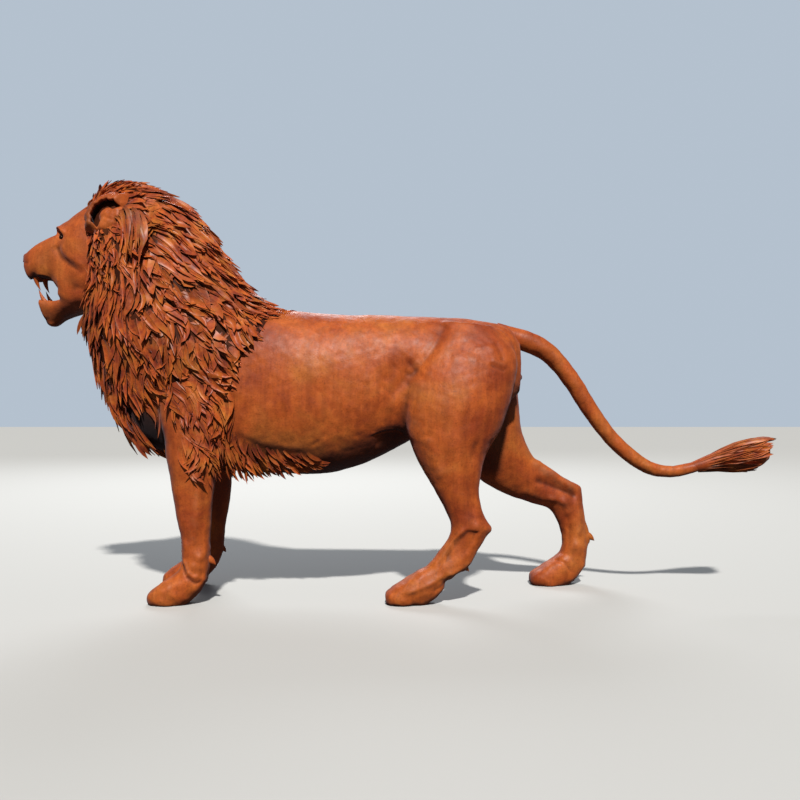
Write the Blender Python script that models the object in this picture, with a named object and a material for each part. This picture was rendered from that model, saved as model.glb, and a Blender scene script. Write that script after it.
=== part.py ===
"""A life-size lion of welded steel, standing in mid step on its four paws.

Metres, +Z up. The lion looks along -X, its left side is towards -Y, and its soles are at z = 0. The skin
is a set of lofts, each a row of stations along a limb, fused into one body by a voxel remesh. The mane, the
tufts and the fringe stand for bundles of steel strips, cut back to the skin that they are welded on.
"""

import math

import bmesh
import bpy
import numpy as np
from mathutils import Matrix
from mathutils.bvhtree import BVHTree

# Driving dimensions, in metres.
TAIL_TIP_X = 1.512         # end of the tail tuft; the nose tip is as far in front
LEG_Y = 0.19               # each leg's distance from the middle plane, at the foot
PAW_LENGTH = 0.225
PAW_HEIGHT = 0.145         # top of the paw where the leg meets it
PAW_HALF_WIDTH = 0.066
TOES = 4
FORE_TOE_X = -0.952        # toe tip of the left fore paw
FAR_STEP = 0.040           # the right fore paw stands this much ahead of the left one
HIND_LEFT_TOE_X = -0.056
HIND_RIGHT_TOE_X = 0.543
WRIST_Z = 0.35             # below it the right foreleg leans forward by that step
EYE = (-1.330, 0.097, 1.415)
EYE_RADIUS = 0.016
EAR = (-1.084, 0.150, 1.512)
EAR_RADII = (0.070, 0.036, 0.066)
STRIP_LIFT = 0.012         # height of a lock of strips over the mane's ground
TAIL_SIDES = 9
TOOTH_SIDES = 8

GAP = 0.0004               # clearance between pieces that touch
SKIN_VOXEL = 0.0085
HAIR_VOXEL = 0.0095
SKIN_TRIANGLES = 3500
HIDDEN_TRIANGLES = 300     # of them, under the mane where nothing shows
HIDDEN_DEPTH = 0.03        # how deep under the mane's ground the skin counts as hidden
MANE_TRIANGLES = 1900

# Stations: one edge's x and z, the other edge's x and z, half width, and the middle's y where it isn't 0.
TORSO = (
    (-1.07, 0.84, -1.07, 0.70, 0.07),
    (-1.02, 0.95, -1.04, 0.60, 0.14),
    (-0.90, 1.06, -0.94, 0.535, 0.19),
    (-0.72, 1.13, -0.74, 0.50, 0.215),
    (-0.50, 1.13, -0.50, 0.482, 0.225),
    (-0.30, 1.116, -0.30, 0.480, 0.228),
    (-0.14, 1.109, -0.14, 0.517, 0.22),
    (0.02, 1.105, 0.02, 0.600, 0.195),
    (0.16, 1.102, 0.14, 0.665, 0.175),
    (0.30, 1.090, 0.28, 0.71, 0.165),
    (0.42, 1.062, 0.40, 0.76, 0.14),
    (0.475, 1.00, 0.478, 0.85, 0.095),
)
NECK = (
    (-1.18, 1.56, -1.24, 1.12, 0.12),
    (-1.05, 1.57, -1.19, 1.00, 0.16),
    (-0.90, 1.48, -1.14, 0.87, 0.19),
    (-0.72, 1.30, -1.08, 0.73, 0.205),
    (-0.52, 1.12, -0.98, 0.60, 0.21),
)
SKULL = (
    (-1.12, 1.560, -1.10, 1.20, 0.130),
    (-1.20, 1.572, -1.16, 1.16, 0.145),
    (-1.27, 1.532, -1.205, 1.16, 0.147),
    (-1.32, 1.490, -1.245, 1.18, 0.134),
    (-1.358, 1.448, -1.285, 1.20, 0.106),
)
MUZZLE = (
    (-1.19, 1.34, -1.19, 1.16, 0.112),
    (-1.28, 1.395, -1.27, 1.178, 0.113),
    (-1.352, 1.420, -1.342, 1.214, 0.098),
    (-1.42, 1.408, -1.41, 1.235, 0.086),
    (-1.463, 1.386, -1.445, 1.240, 0.078),
    (-1.496, 1.362, -1.466, 1.246, 0.066),
    (-1.509, 1.345, -1.480, 1.266, 0.050),
)
JAW = (
    (-1.17, 1.23, -1.17, 1.105, 0.110),
    (-1.27, 1.205, -1.27, 1.106, 0.104),
    (-1.34, 1.174, -1.325, 1.082, 0.083),
    (-1.385, 1.164, -1.362, 1.066, 0.068),
    (-1.42, 1.164, -1.392, 1.078, 0.058),
    (-1.437, 1.160, -1.414, 1.105, 0.044),
)
FORE_LEG = (
    (-0.98, 1.00, -0.62, 1.02, 0.10, -0.120),
    (-0.96, 0.86, -0.63, 0.88, 0.115, -0.135),
    (-0.925, 0.73, -0.65, 0.75, 0.11, -0.150),
    (-0.897, 0.62, -0.675, 0.63, 0.095, -0.165),
    (-0.885, 0.53, -0.695, 0.53, 0.080, -0.175),
    (-0.868, 0.45, -0.707, 0.45, 0.068, -0.180),
    (-0.849, 0.353, -0.714, 0.353, 0.058, -0.183),
    (-0.826, 0.25, -0.720, 0.25, 0.050, -0.185),
    (-0.823, 0.18, -0.718, 0.175, 0.052, -0.187),
    (-0.83, 0.14, -0.722, 0.125, 0.055, -0.190),
    (-0.85, 0.10, -0.745, 0.065, 0.058, -0.190),
)
HIND_LEG_LEFT = (
    (0.16, 1.08, 0.36, 1.06, 0.05, -0.085),
    (0.04, 0.93, 0.45, 0.94, 0.10, -0.118),
    (0.01, 0.78, 0.435, 0.80, 0.125, -0.135),
    (0.025, 0.65, 0.39, 0.665, 0.115, -0.150),
    (0.0735, 0.52, 0.325, 0.55, 0.090, -0.165),
    (0.134, 0.42, 0.299, 0.436, 0.066, -0.180),
    (0.178, 0.335, 0.308, 0.36, 0.052, -0.185),
    (0.1895, 0.29, 0.34, 0.282, 0.050, -0.190),
    (0.174, 0.249, 0.300, 0.225, 0.045, -0.190),
    (0.133, 0.182, 0.262, 0.150, 0.046, -0.190),
    (0.085, 0.125, 0.20, 0.085, 0.052, -0.190),
)
HIND_LEG_RIGHT = (
    (0.20, 1.08, 0.38, 1.06, 0.05, 0.085),
    (0.12, 0.91, 0.475, 0.93, 0.10, 0.118),
    (0.15, 0.72, 0.505, 0.78, 0.12, 0.135),
    (0.22, 0.55, 0.530, 0.63, 0.105, 0.150),
    (0.345, 0.432, 0.580, 0.52, 0.078, 0.165),
    (0.455, 0.372, 0.640, 0.475, 0.064, 0.175),
    (0.56, 0.332, 0.707, 0.436, 0.054, 0.185),
    (0.623, 0.315, 0.756, 0.400, 0.050, 0.190),
    (0.660, 0.270, 0.770, 0.335, 0.047, 0.190),
    (0.674, 0.200, 0.785, 0.250, 0.045, 0.190),
    (0.668, 0.125, 0.790, 0.150, 0.048, 0.190),
    (0.650, 0.080, 0.780, 0.070, 0.052, 0.190),
)
# Paw stations: place from heel (0) to toe (1), top and bottom over the paw's height, width over its own.
PAW = (
    (0.00, 0.83, 0.40, 0.55),
    (0.16, 0.97, 0.12, 0.80),
    (0.38, 1.00, -0.08, 0.95),
    (0.58, 0.80, -0.09, 1.00),
    (0.78, 0.58, -0.09, 1.00),
    (0.92, 0.42, -0.07, 0.86),
    (1.00, 0.27, 0.03, 0.55),
)
# The mane's outline: crest line and throat line, from the face's edge back to the shoulder, and half width.
MANE_CREST = ((-1.240, 1.535), (-1.150, 1.622), (-1.04, 1.624), (-0.895, 1.556), (-0.770, 1.428),
              (-0.670, 1.280), (-0.555, 1.160), (-0.424, 1.112))
MANE_THROAT = ((-1.252, 1.080), (-1.220, 0.97), (-1.184, 0.86), (-1.150, 0.775), (-1.117, 0.70),
               (-1.078, 0.638), (-1.04, 0.585), (-1.00, 0.54))
MANE_HALF_WIDTH = (0.155, 0.205, 0.243, 0.262, 0.268, 0.264, 0.256, 0.243)
MANE_BOW = 0.23            # how far the mane's rear edge bows back at its lower side
TAIL_LINE = ((0.40, 1.035), (0.52, 0.998), (0.603, 0.950), (0.684, 0.852), (0.763, 0.729),
             (0.843, 0.619), (0.922, 0.546), (1.00, 0.499), (1.08, 0.485), (1.16, 0.500), (1.20, 0.513))
TAIL_RADIUS = (0.043, 0.041, 0.038, 0.035, 0.0325, 0.030, 0.028, 0.026, 0.023, 0.021, 0.019)

COLOURS = {
    "rusted_steel": (0.33, 0.13, 0.045),
    "strip_steel": (0.24, 0.085, 0.035),
    "dark_steel": (0.06, 0.035, 0.022),
}
ROUGHNESS = 0.55


def clear_scene():
    for obj in list(bpy.data.objects):
        bpy.data.objects.remove(obj, do_unlink=True)


def material(name, tone):
    """Weathered steel: a rust-coloured metal, half rough."""
    made = bpy.data.materials.new(name)
    made.use_nodes = True
    shader = made.node_tree.nodes["Principled BSDF"]
    shader.inputs["Base Color"].default_value = (*COLOURS[tone], 1)
    shader.inputs["Metallic"].default_value = 0.6
    shader.inputs["Roughness"].default_value = ROUGHNESS
    return made


def between(rows, count):
    """Reads count rows, evenly spread, from a smooth Catmull-Rom curve through the given ones."""
    rows = np.array(rows, float)
    ends = np.vstack([2 * rows[0] - rows[1], rows, 2 * rows[-1] - rows[-2]])
    place = np.linspace(0, len(rows) - 1 - 1e-9, count)
    low, f = place.astype(int), (place % 1)[:, None]
    before, start, end, after = (ends[low + i] for i in range(4))
    cubic = 3 * (start - end) + after - before
    return start + 0.5 * f * (end - before + f * (2 * before - 5 * start + 4 * end - after + f * cubic))


def section(row, sides, square):
    """One closed ring of a loft: a superellipse between the station's two edges."""
    ax, az, bx, bz, half = row[:5]
    y = row[5] if len(row) > 5 else 0.0
    angle = np.linspace(0, 2 * math.pi, sides, endpoint=False)
    along, across = (np.sign(f) * np.abs(f) ** (2 / square) for f in (np.cos(angle), np.sin(angle)))
    x = (ax + bx) / 2 + along * (ax - bx) / 2
    z = (az + bz) / 2 + along * (az - bz) / 2
    return np.stack([x, y + across * half, z], 1)


def add_tube(bm, rings):
    """Skins a list of equal rings, with a flat cap at each end."""
    loops = [[bm.verts.new(p) for p in ring] for ring in rings]
    sides = len(loops[0])
    for a, b in zip(loops, loops[1:]):
        for i in range(sides):
            j = (i + 1) % sides
            bm.faces.new((a[i], a[j], b[j], b[i]))
    bm.faces.new(loops[0][::-1])
    bm.faces.new(loops[-1])


def add_limb(bm, stations, rings=30, sides=24, square=2.2):
    """Lofts a limb through its stations."""
    add_tube(bm, [section(row, sides, square) for row in between(stations, rings)])


def add_ball(bm, centre, radii, turn=(0, 0, 0), sides=16):
    """An ellipsoid, turned by Euler angles in degrees."""
    spin = Matrix.Rotation(math.radians(turn[2]), 4, "Z") @ Matrix.Rotation(math.radians(turn[1]), 4, "Y")
    spin = spin @ Matrix.Rotation(math.radians(turn[0]), 4, "X")
    place = Matrix.Translation(centre) @ spin @ Matrix.Diagonal((*radii, 1))
    bmesh.ops.create_uvsphere(bm, u_segments=sides, v_segments=sides * 5 // 8, radius=1, matrix=place)


def finish_mesh(bm, name):
    """Turns a bmesh into an object, with every closed shell's faces outwards."""
    bmesh.ops.recalc_face_normals(bm, faces=bm.faces)
    mesh = bpy.data.meshes.new(name)
    bm.to_mesh(mesh)
    bm.free()
    obj = bpy.data.objects.new(name, mesh)
    bpy.context.scene.collection.objects.link(obj)
    return obj


def hide(obj):
    """Marks a cutter, which is no piece of the lion."""
    obj.hide_render = True
    obj.display_type = "WIRE"
    return obj


def bake(obj):
    """Replaces an object's mesh by what its modifiers make of it."""
    shown = obj.evaluated_get(bpy.context.evaluated_depsgraph_get())
    mesh = bpy.data.meshes.new_from_object(shown)
    obj.modifiers.clear()
    obj.data = mesh
    return obj


def thin(obj, triangles, only=None):
    """Collapses edges until a number of triangles is left; only = the vertices that it may touch."""
    modifier = obj.modifiers.new("thin", "DECIMATE")
    modifier.ratio = triangles / sum(len(p.vertices) - 2 for p in obj.data.polygons)
    if only is not None:
        obj.vertex_groups.new(name="thin").add(only, 1.0, "REPLACE")
        modifier.vertex_group = "thin"
    bake(obj)
    obj.vertex_groups.clear()
    return obj


def fuse(obj, voxel, smooth_steps):
    """Fuses overlapping shells into one skin, and smooths it."""
    remesh = obj.modifiers.new("fuse", "REMESH")
    remesh.mode = "VOXEL"
    remesh.voxel_size = voxel
    smooth = obj.modifiers.new("smooth", "SMOOTH")
    smooth.factor = 0.5
    smooth.iterations = smooth_steps
    return bake(obj)


def cut(obj, cutter):
    """Takes a cutter's room out of an object."""
    boolean = obj.modifiers.new("cut", "BOOLEAN")
    boolean.operation = "DIFFERENCE"
    boolean.object = cutter
    bake(obj)
    keep_largest(obj)
    return obj


def keep_largest(obj):
    """Drops the crumbs that a cut can leave, and fixes the rest as triangles."""
    bm = bmesh.new()
    bm.from_mesh(obj.data)
    bmesh.ops.remove_doubles(bm, verts=bm.verts, dist=1e-6)
    bmesh.ops.triangulate(bm, faces=bm.faces)
    left, pieces = set(bm.faces), []
    while left:
        piece, todo = set(), [left.pop()]
        while todo:
            face = todo.pop()
            piece.add(face)
            for edge in face.edges:
                fresh = [f for f in edge.link_faces if f in left]
                left.difference_update(fresh)
                todo.extend(fresh)
        pieces.append(piece)
    largest = max(pieces, key=lambda p: sum(f.calc_area() for f in p))
    drop = [f for p in pieces if p is not largest for f in p]
    bmesh.ops.delete(bm, geom=drop, context="FACES")
    bmesh.ops.delete(bm, geom=[v for v in bm.verts if not v.link_faces], context="VERTS")
    bm.to_mesh(obj.data)
    bm.free()


def offset(vertex, distance):
    """The shortest-looking move that takes a vertex out of all its faces' planes by a distance."""
    move = vertex.normal * distance
    for _ in range(12):
        for face in vertex.link_faces:
            short = distance - move.dot(face.normal)
            if short > 0:
                move += face.normal * short
    return move if move.length < 4 * distance else move.normalized() * 4 * distance


def grown(obj, name):
    """A hidden copy, a hair larger all over, that cuts its neighbours back from it."""
    bm = bmesh.new()
    bm.from_mesh(obj.data)
    bm.normal_update()
    moves = [offset(vertex, GAP) for vertex in bm.verts]
    for vertex, move in zip(bm.verts, moves):
        vertex.co += move
    return hide(finish_mesh(bm, name))


def ground():
    """A block whose top is the floor: it cuts the soles flat."""
    bm = bmesh.new()
    place = Matrix.Translation((0, 0, -0.1)) @ Matrix.Diagonal((4, 1.2, 0.2, 1))
    bmesh.ops.create_cube(bm, size=1, matrix=place)
    return hide(finish_mesh(bm, "ground_cutter"))


def add_paw(bm, toe_x, y):
    """A paw with its toes, seen from above a rounded wedge that points along -X."""
    heel_x = toe_x + PAW_LENGTH
    rows = [(heel_x - f * PAW_LENGTH, top * PAW_HEIGHT, heel_x - f * PAW_LENGTH, low * PAW_HEIGHT,
             width * PAW_HALF_WIDTH, y) for f, top, low, width in PAW]
    add_limb(bm, rows, rings=16, sides=20, square=2.5)
    pitch = 2 * PAW_HALF_WIDTH / TOES
    for k in range(TOES):
        side = k - (TOES - 1) / 2
        reach = 0.012 * (abs(side) < 1)
        centre = (toe_x + 0.040 - reach, y + side * pitch, 0.030)
        add_ball(bm, centre, (0.052, pitch * 0.56, 0.038), turn=(0, 14, side * 3))


def add_face(bm):
    """What the skull's lofts don't give: brows, cheeks, lip pads, nose pad and chin, on both sides."""
    for side in (-1, 1):
        brow_turn = (-16 * side, -30, -16 * side)
        add_ball(bm, (-1.314, 0.086 * side, 1.449), (0.036, 0.050, 0.015), turn=brow_turn)
        add_ball(bm, (-1.190, 0.112 * side, 1.300), (0.090, 0.042, 0.100), turn=(0, 30, 0))
        add_ball(bm, (-1.405, 0.054 * side, 1.286), (0.072, 0.037, 0.046), turn=(0, 10, -6 * side))
        add_ball(bm, (-1.20, 0.092 * side, 1.165), (0.10, 0.035, 0.050))
        add_ball(bm, (-1.272, 0.076 * side, 1.190), (0.060, 0.034, 0.048))
    add_ball(bm, (-1.482, 0, 1.350), (0.026, 0.050, 0.022), turn=(0, 30, 0))
    add_ball(bm, (-1.395, 0, 1.112), (0.032, 0.045, 0.038))


def right_foreleg():
    """The left foreleg's stations mirrored, leaning forward below the wrist to its own paw."""
    rows = []
    for ax, az, bx, bz, half, y in FORE_LEG:
        lean_a, lean_b = (FAR_STEP * max(0.0, 1 - z / WRIST_Z) for z in (az, bz))
        rows.append((ax - lean_a, az, bx - lean_b, bz, half, -y))
    return rows


def body():
    """The welded skin: torso, neck, head, lower jaw, four legs and paws."""
    bm = bmesh.new()
    add_limb(bm, TORSO, rings=40, sides=36, square=2.25)
    add_limb(bm, NECK, rings=24, sides=32)
    add_limb(bm, SKULL, rings=20, sides=28)
    add_limb(bm, MUZZLE, rings=20, sides=28, square=2.7)
    add_limb(bm, JAW, rings=20, sides=24, square=2.4)
    add_face(bm)
    add_limb(bm, FORE_LEG)
    add_limb(bm, right_foreleg())
    add_limb(bm, HIND_LEG_LEFT)
    add_limb(bm, HIND_LEG_RIGHT)
    add_paw(bm, FORE_TOE_X, -LEG_Y)
    add_paw(bm, FORE_TOE_X - FAR_STEP, LEG_Y)
    add_paw(bm, HIND_LEFT_TOE_X, -LEG_Y)
    add_paw(bm, HIND_RIGHT_TOE_X, LEG_Y)
    skin = fuse(finish_mesh(bm, "body"), SKIN_VOXEL, 6)
    hidden = under_mane(skin)
    visible_triangles = 2 * (len(skin.data.vertices) - len(hidden))
    thin(skin, visible_triangles + HIDDEN_TRIANGLES, only=hidden)
    thin(skin, SKIN_TRIANGLES)
    cut(skin, ground())
    for side in (-1, 1):
        socket = bmesh.new()
        x, y, z = EYE
        add_ball(socket, (x - 0.012, (y + 0.010) * side, z), (0.028, 0.030, 0.018), turn=(0, -24, 0))
        cut(skin, hide(finish_mesh(socket, "socket_cutter")))
    return skin


def mane_point(u, v, lift):
    """A point of the mane: u runs back from the face, v from the crest (0) round to the throat (1)."""
    lines = between(np.column_stack([MANE_CREST, MANE_THROAT, MANE_HALF_WIDTH]), 161)
    steps = np.linspace(0, 1, len(lines))
    inside = np.clip(u, 0, 1)
    ax, az, bx, bz, half = (np.interp(inside, steps, column) for column in lines.T)
    turn = math.pi * v
    t = (1 - np.cos(turn)) / 2
    bow = MANE_BOW * inside ** 2 * np.sin(math.pi * np.clip(t, 0, 1) ** 3)
    beyond = 0.7 * (u - inside)
    out = half * np.abs(np.sin(turn)) ** 0.85 * np.sign(np.sin(turn))
    grow = 1 + lift / np.maximum(half, 0.1)
    x = (ax + bx) / 2 + (ax - bx) / 2 * np.cos(turn) * grow + bow + beyond
    z = (az + bz) / 2 + (az - bz) / 2 * np.cos(turn) * grow - 0.3 * beyond
    return np.stack(np.broadcast_arrays(x, out * grow, z), -1)


def mane_ground(name):
    """The mane without its locks: a closed collar between the face's edge and the shoulder."""
    bm = bmesh.new()
    turns = np.linspace(0, 2, 48, endpoint=False)
    add_tube(bm, [mane_point(u, turns, -STRIP_LIFT) for u in np.linspace(0, 1, 24)])
    return finish_mesh(bm, name)


def under_mane(skin):
    """The skin's vertices that lie well inside the mane."""
    ground_shape = mane_ground("mane_ground_guide")
    bm = bmesh.new()
    bm.from_mesh(ground_shape.data)
    tree = BVHTree.FromBMesh(bm)
    bm.free()
    bpy.data.objects.remove(ground_shape)
    hidden = []
    for vertex in skin.data.vertices:
        near, normal, _, _ = tree.find_nearest(vertex.co)
        if (vertex.co - near).dot(normal) < -HIDDEN_DEPTH:
            hidden.append(vertex.index)
    return hidden


def add_lock(bm, path, out, width, thick):
    """One lock of strips: a lens-shaped ridge along a path, broad at its root and pointed at its tip."""
    forward = np.gradient(path, axis=0)
    across = np.cross(forward, out)
    across /= np.linalg.norm(across, axis=1)[:, None]
    s = np.linspace(0, 1, len(path))
    breadth = width * np.clip(1.15 * (1 - s ** 2.2), 0.10, 1)
    height = thick * np.clip(1.3 * (1 - s ** 3), 0.25, 1)
    rings = []
    for angle in np.linspace(0, 2 * math.pi, 6, endpoint=False):
        rings.append(path + across * (breadth * math.cos(angle))[:, None]
                     + out * (height * math.sin(angle))[:, None])
    add_tube(bm, np.array(rings).transpose(1, 0, 2))


def mane(cutters):
    """The mane's closed ground with rows of overlapping locks swept back over it."""
    made = mane_ground("mane")
    bm = bmesh.new()
    bm.from_mesh(made.data)
    rows, around = 9, 22
    for row in range(rows):
        start = 0.01 + 0.92 * row / rows
        for k in range(around):
            v = 2 * (k + 0.5 * (row % 2)) / around
            wave = math.sin(7.3 * k + 3.1 * row)
            s = np.linspace(0, 1, 7)
            fall = 0.05 * math.sin(math.pi * v)
            u_path = start + (0.20 + 0.03 * wave) * s
            v_path = v + (fall + 0.012 * wave) * s
            lift = STRIP_LIFT * (-0.9 + 2.3 * s - 0.4 * s ** 3)
            path = mane_point(u_path, v_path, lift)
            out = mane_point(u_path, v_path, lift + 0.05) - path
            out /= np.linalg.norm(out, axis=1)[:, None]
            add_lock(bm, path, out, 0.026, 0.016)
    bm.to_mesh(made.data)
    bm.free()
    thin(fuse(made, HAIR_VOXEL, 2), MANE_TRIANGLES)
    for cutter in cutters:
        cut(made, cutter)
    return made


def add_fan(bm, roots, tips, sag, width, thick, out):
    """A row of pointed strips from root to tip, each bulging by sag, laid beside and over each other."""
    s = np.linspace(0, 1, 6)[:, None]
    for k, (root, tip) in enumerate(zip(roots, tips)):
        path = root + (tip - root) * s + np.array(sag) * 4 * s * (1 - s)
        add_lock(bm, path, np.broadcast_to(out[k], path.shape), width, thick)


def line(start, end, count):
    """Evenly spread points from start to end."""
    return np.array(start) + (np.array(end) - np.array(start)) * np.linspace(0, 1, count)[:, None]


def elbow_tuft(side, cutters):
    """Strips over the outer face of the upper arm and behind the elbow, pointing down and back."""
    name = "elbow_tuft_left" if side < 0 else "elbow_tuft_right"
    turn = np.array([1, side, 1])
    bm = bmesh.new()
    front, rear = np.array([-0.83, 0.222, 0.690]), np.array([-0.655, 0.195, 0.715])
    low_front, low_rear = front + (0.010, 0.034, -0.050), rear + (0.0, 0.020, -0.075)
    rows = (
        (front, rear, (-0.800, 0.266, 0.565), (-0.590, 0.225, 0.600)),
        (low_front, low_rear, (-0.780, 0.276, 0.490), (-0.615, 0.236, 0.445)),
    )
    count = 5
    out = line((-0.2, 1, 0.1), (0.6, 0.8, 0.1), count) * turn
    out /= np.linalg.norm(out, axis=1)[:, None]
    for root_front, root_rear, tip_front, tip_rear in rows:
        roots, tips = line(root_front, root_rear, count), line(tip_front, tip_rear, count)
        tips[1::2] += (0.0, 0.0, 0.035)
        add_fan(bm, roots * turn, tips * turn, (0, 0.012 * side, 0), 0.024, 0.017, out)
    made = thin(fuse(finish_mesh(bm, name), HAIR_VOXEL * 0.8, 1), 120)
    for cutter in cutters:
        cut(made, cutter)
    return made


def belly_fringe(cutters):
    """Short strips over the belly's underside, swept back and down."""
    bm = bmesh.new()
    count = 8
    drop = np.array([0.070, 0.0, -0.020])
    for side in (-1, 1):
        for y, height in ((0.088, 0.507), (0.030, 0.491)):
            roots = line((-0.665, y * side, height), (-0.40, y * side * 0.9, height - 0.012), count)
            out = np.tile((0.0, 0.3 * side, -0.95), (count, 1))
            add_fan(bm, roots, roots + drop, (0, 0, -0.004), 0.036, 0.014, out)
    made = thin(fuse(finish_mesh(bm, "belly_fringe"), HAIR_VOXEL, 2), 170)
    for cutter in cutters:
        cut(made, cutter)
    return made


def tail(cutters):
    """A round bar that tapers, leaves the rump, sweeps down and turns up again."""
    rows = between(np.column_stack([TAIL_LINE, TAIL_RADIUS]), 17)
    forward = np.gradient(rows[:, :2], axis=0)
    forward /= np.linalg.norm(forward, axis=1)[:, None]
    bm = bmesh.new()
    angle = np.linspace(0, 2 * math.pi, TAIL_SIDES, endpoint=False)
    rings = []
    for (x, z, radius), (dx, dz) in zip(rows, forward):
        up, side = radius * np.cos(angle), radius * np.sin(angle)
        rings.append(np.column_stack([x - dz * up, side, z + dx * up]))
    add_tube(bm, rings)
    made = finish_mesh(bm, "tail")
    for cutter in cutters:
        cut(made, cutter)
    return made


def tail_tuft(cutters):
    """Pointed strips closed like a brush around the tail's end, their tips spread up and down."""
    bm = bmesh.new()
    add_limb(bm, ((1.165, 0.523, 1.175, 0.479, 0.021), (1.24, 0.556, 1.25, 0.497, 0.036),
                  (1.32, 0.584, 1.33, 0.494, 0.046), (1.40, 0.594, 1.41, 0.505, 0.036)), rings=8, sides=12)
    fingers = 10
    for k in range(fingers):
        angle = 2 * math.pi * k / fingers
        up, side = math.cos(angle), math.sin(angle)
        reach = TAIL_TIP_X - 0.030 * (1 - up)
        s = np.linspace(0, 1, 6)
        x = 1.27 + (reach - 1.27) * s
        z = 0.541 + 0.018 * s + up * (0.039 + 0.024 * s - 0.014 * s ** 2)
        path = np.column_stack([x, side * (0.035 - 0.008 * s), z])
        out = np.broadcast_to(np.array([0.0, side, up]), path.shape)
        add_lock(bm, path, out, 0.020, 0.013)
    made = thin(fuse(finish_mesh(bm, "tail_tuft"), HAIR_VOXEL * 0.75, 2), 250)
    for cutter in cutters:
        cut(made, cutter)
    return made


def tooth(name, root, tip, radius, bend, cutters):
    """A curved, tapering canine."""
    s = np.linspace(0, 1, 6)[:, None]
    path = np.array(root) + (np.array(tip) - np.array(root)) * s + np.array([bend, 0, 0]) * 4 * s * (1 - s)
    bm = bmesh.new()
    angle = np.linspace(0, 2 * math.pi, TOOTH_SIDES, endpoint=False)
    girth = radius * np.clip(1 - s[:, 0] ** 1.6, 0.08, 1)
    rings = [np.column_stack([x + r * np.cos(angle), y + 0.8 * r * np.sin(angle), 0 * angle + z])
             for (x, y, z), r in zip(path, girth)]
    add_tube(bm, rings)
    made = finish_mesh(bm, name)
    for cutter in cutters:
        cut(made, cutter)
    return made


def canines(cutters):
    made = []
    for side, word in ((-1, "left"), (1, "right")):
        upper = ((-1.428, 0.044 * side, 1.262), (-1.424, 0.044 * side, 1.196))
        lower = ((-1.412, 0.038 * side, 1.148), (-1.432, 0.036 * side, 1.206))
        made.append(tooth("upper_canine_" + word, *upper, 0.011, -0.006, cutters))
        made.append(tooth("lower_canine_" + word, *lower, 0.010, -0.003, cutters))
    return made


def ear(side, cutters):
    """A cupped sheet ear: an egg hollowed from its outer side."""
    name = "ear_left" if side < 0 else "ear_right"
    x, y, z = EAR
    turn = (0, 20, -24 * side)
    bm = bmesh.new()
    add_ball(bm, (x, y * side, z), EAR_RADII, turn=turn, sides=12)
    made = finish_mesh(bm, name)
    bowl = bmesh.new()
    radii = (EAR_RADII[0] * 0.80, EAR_RADII[1] * 1.02, EAR_RADII[2] * 0.80)
    add_ball(bowl, (x - 0.014, (y + 0.024) * side, z - 0.002), radii, turn=turn, sides=12)
    cut(made, hide(finish_mesh(bowl, "ear_bowl_cutter")))
    for cutter in cutters:
        cut(made, cutter)
    return made


def ear_pockets(side):
    """The room that an ear takes in the mane, and the open way in front of it."""
    x, y, z = EAR
    radii = [r + 2 * GAP for r in EAR_RADII]
    balls = (((x, y * side, z), radii), ((x - 0.020, (y + 0.055) * side, z), [r * 0.9 for r in radii]))
    cutters = []
    for centre, size in balls:
        bm = bmesh.new()
        add_ball(bm, centre, size, turn=(0, 20, -24 * side), sides=12)
        cutters.append(hide(finish_mesh(bm, "ear_pocket_cutter")))
    return cutters


def eye(side, cutters):
    x, y, z = EYE
    bm = bmesh.new()
    add_ball(bm, (x, y * side, z), (EYE_RADIUS,) * 3, sides=8)
    made = finish_mesh(bm, "eye_left" if side < 0 else "eye_right")
    for cutter in cutters:
        cut(made, cutter)
    return made


def dewclaw(name, root, tip, cutters):
    """A small hooked plate behind a foot."""
    bm = bmesh.new()
    root, tip = np.array(root), np.array(tip)
    s = np.linspace(0, 1, 5)[:, None]
    path = root + (tip - root) * s + np.array([0, 0, 0.006]) * 4 * s * (1 - s)
    add_lock(bm, path, np.broadcast_to(np.array([0.0, 1.0, 0.0]), path.shape), 0.020, 0.012)
    made = finish_mesh(bm, name)
    for cutter in cutters:
        cut(made, cutter)
    return made


def dewclaws(cutters):
    step = FAR_STEP / 2
    places = {
        "dewclaw_fore_left": ((-0.745, -LEG_Y, 0.170), (-0.696, -LEG_Y, 0.146)),
        "dewclaw_fore_right": ((-0.745 - step, LEG_Y, 0.170), (-0.696 - step, LEG_Y, 0.146)),
        "dewclaw_hind_left": ((0.215, -LEG_Y, 0.148), (0.262, -LEG_Y, 0.120)),
        "dewclaw_hind_right": ((0.765, LEG_Y, 0.205), (0.818, LEG_Y, 0.180)),
    }
    return [dewclaw(name, root, tip, cutters) for name, (root, tip) in places.items()]


def build():
    clear_scene()
    skin = body()
    skin_cutter = grown(skin, "skin_cutter")
    ears = [ear(side, [skin_cutter]) for side in (-1, 1)]
    collar = mane([skin_cutter] + ear_pockets(-1) + ear_pockets(1))
    collar_cutter = grown(collar, "mane_cutter")
    strips = [collar, belly_fringe([skin_cutter, collar_cutter])]
    strips += [elbow_tuft(side, [skin_cutter, collar_cutter]) for side in (-1, 1)]
    rod = tail([skin_cutter])
    strips.append(tail_tuft([grown(rod, "tail_cutter")]))
    small = canines([skin_cutter]) + dewclaws([skin_cutter])
    eyes = [eye(side, [skin_cutter]) for side in (-1, 1)]
    for tone, group in (("rusted_steel", [skin, rod] + ears), ("strip_steel", strips + small),
                        ("dark_steel", eyes)):
        for obj in group:
            obj.data.materials.clear()
            obj.data.materials.append(material(obj.name + "_steel", tone))
            obj.data.shade_smooth()
            obj.data.set_sharp_from_angle(angle=math.radians(40))


build()
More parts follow.
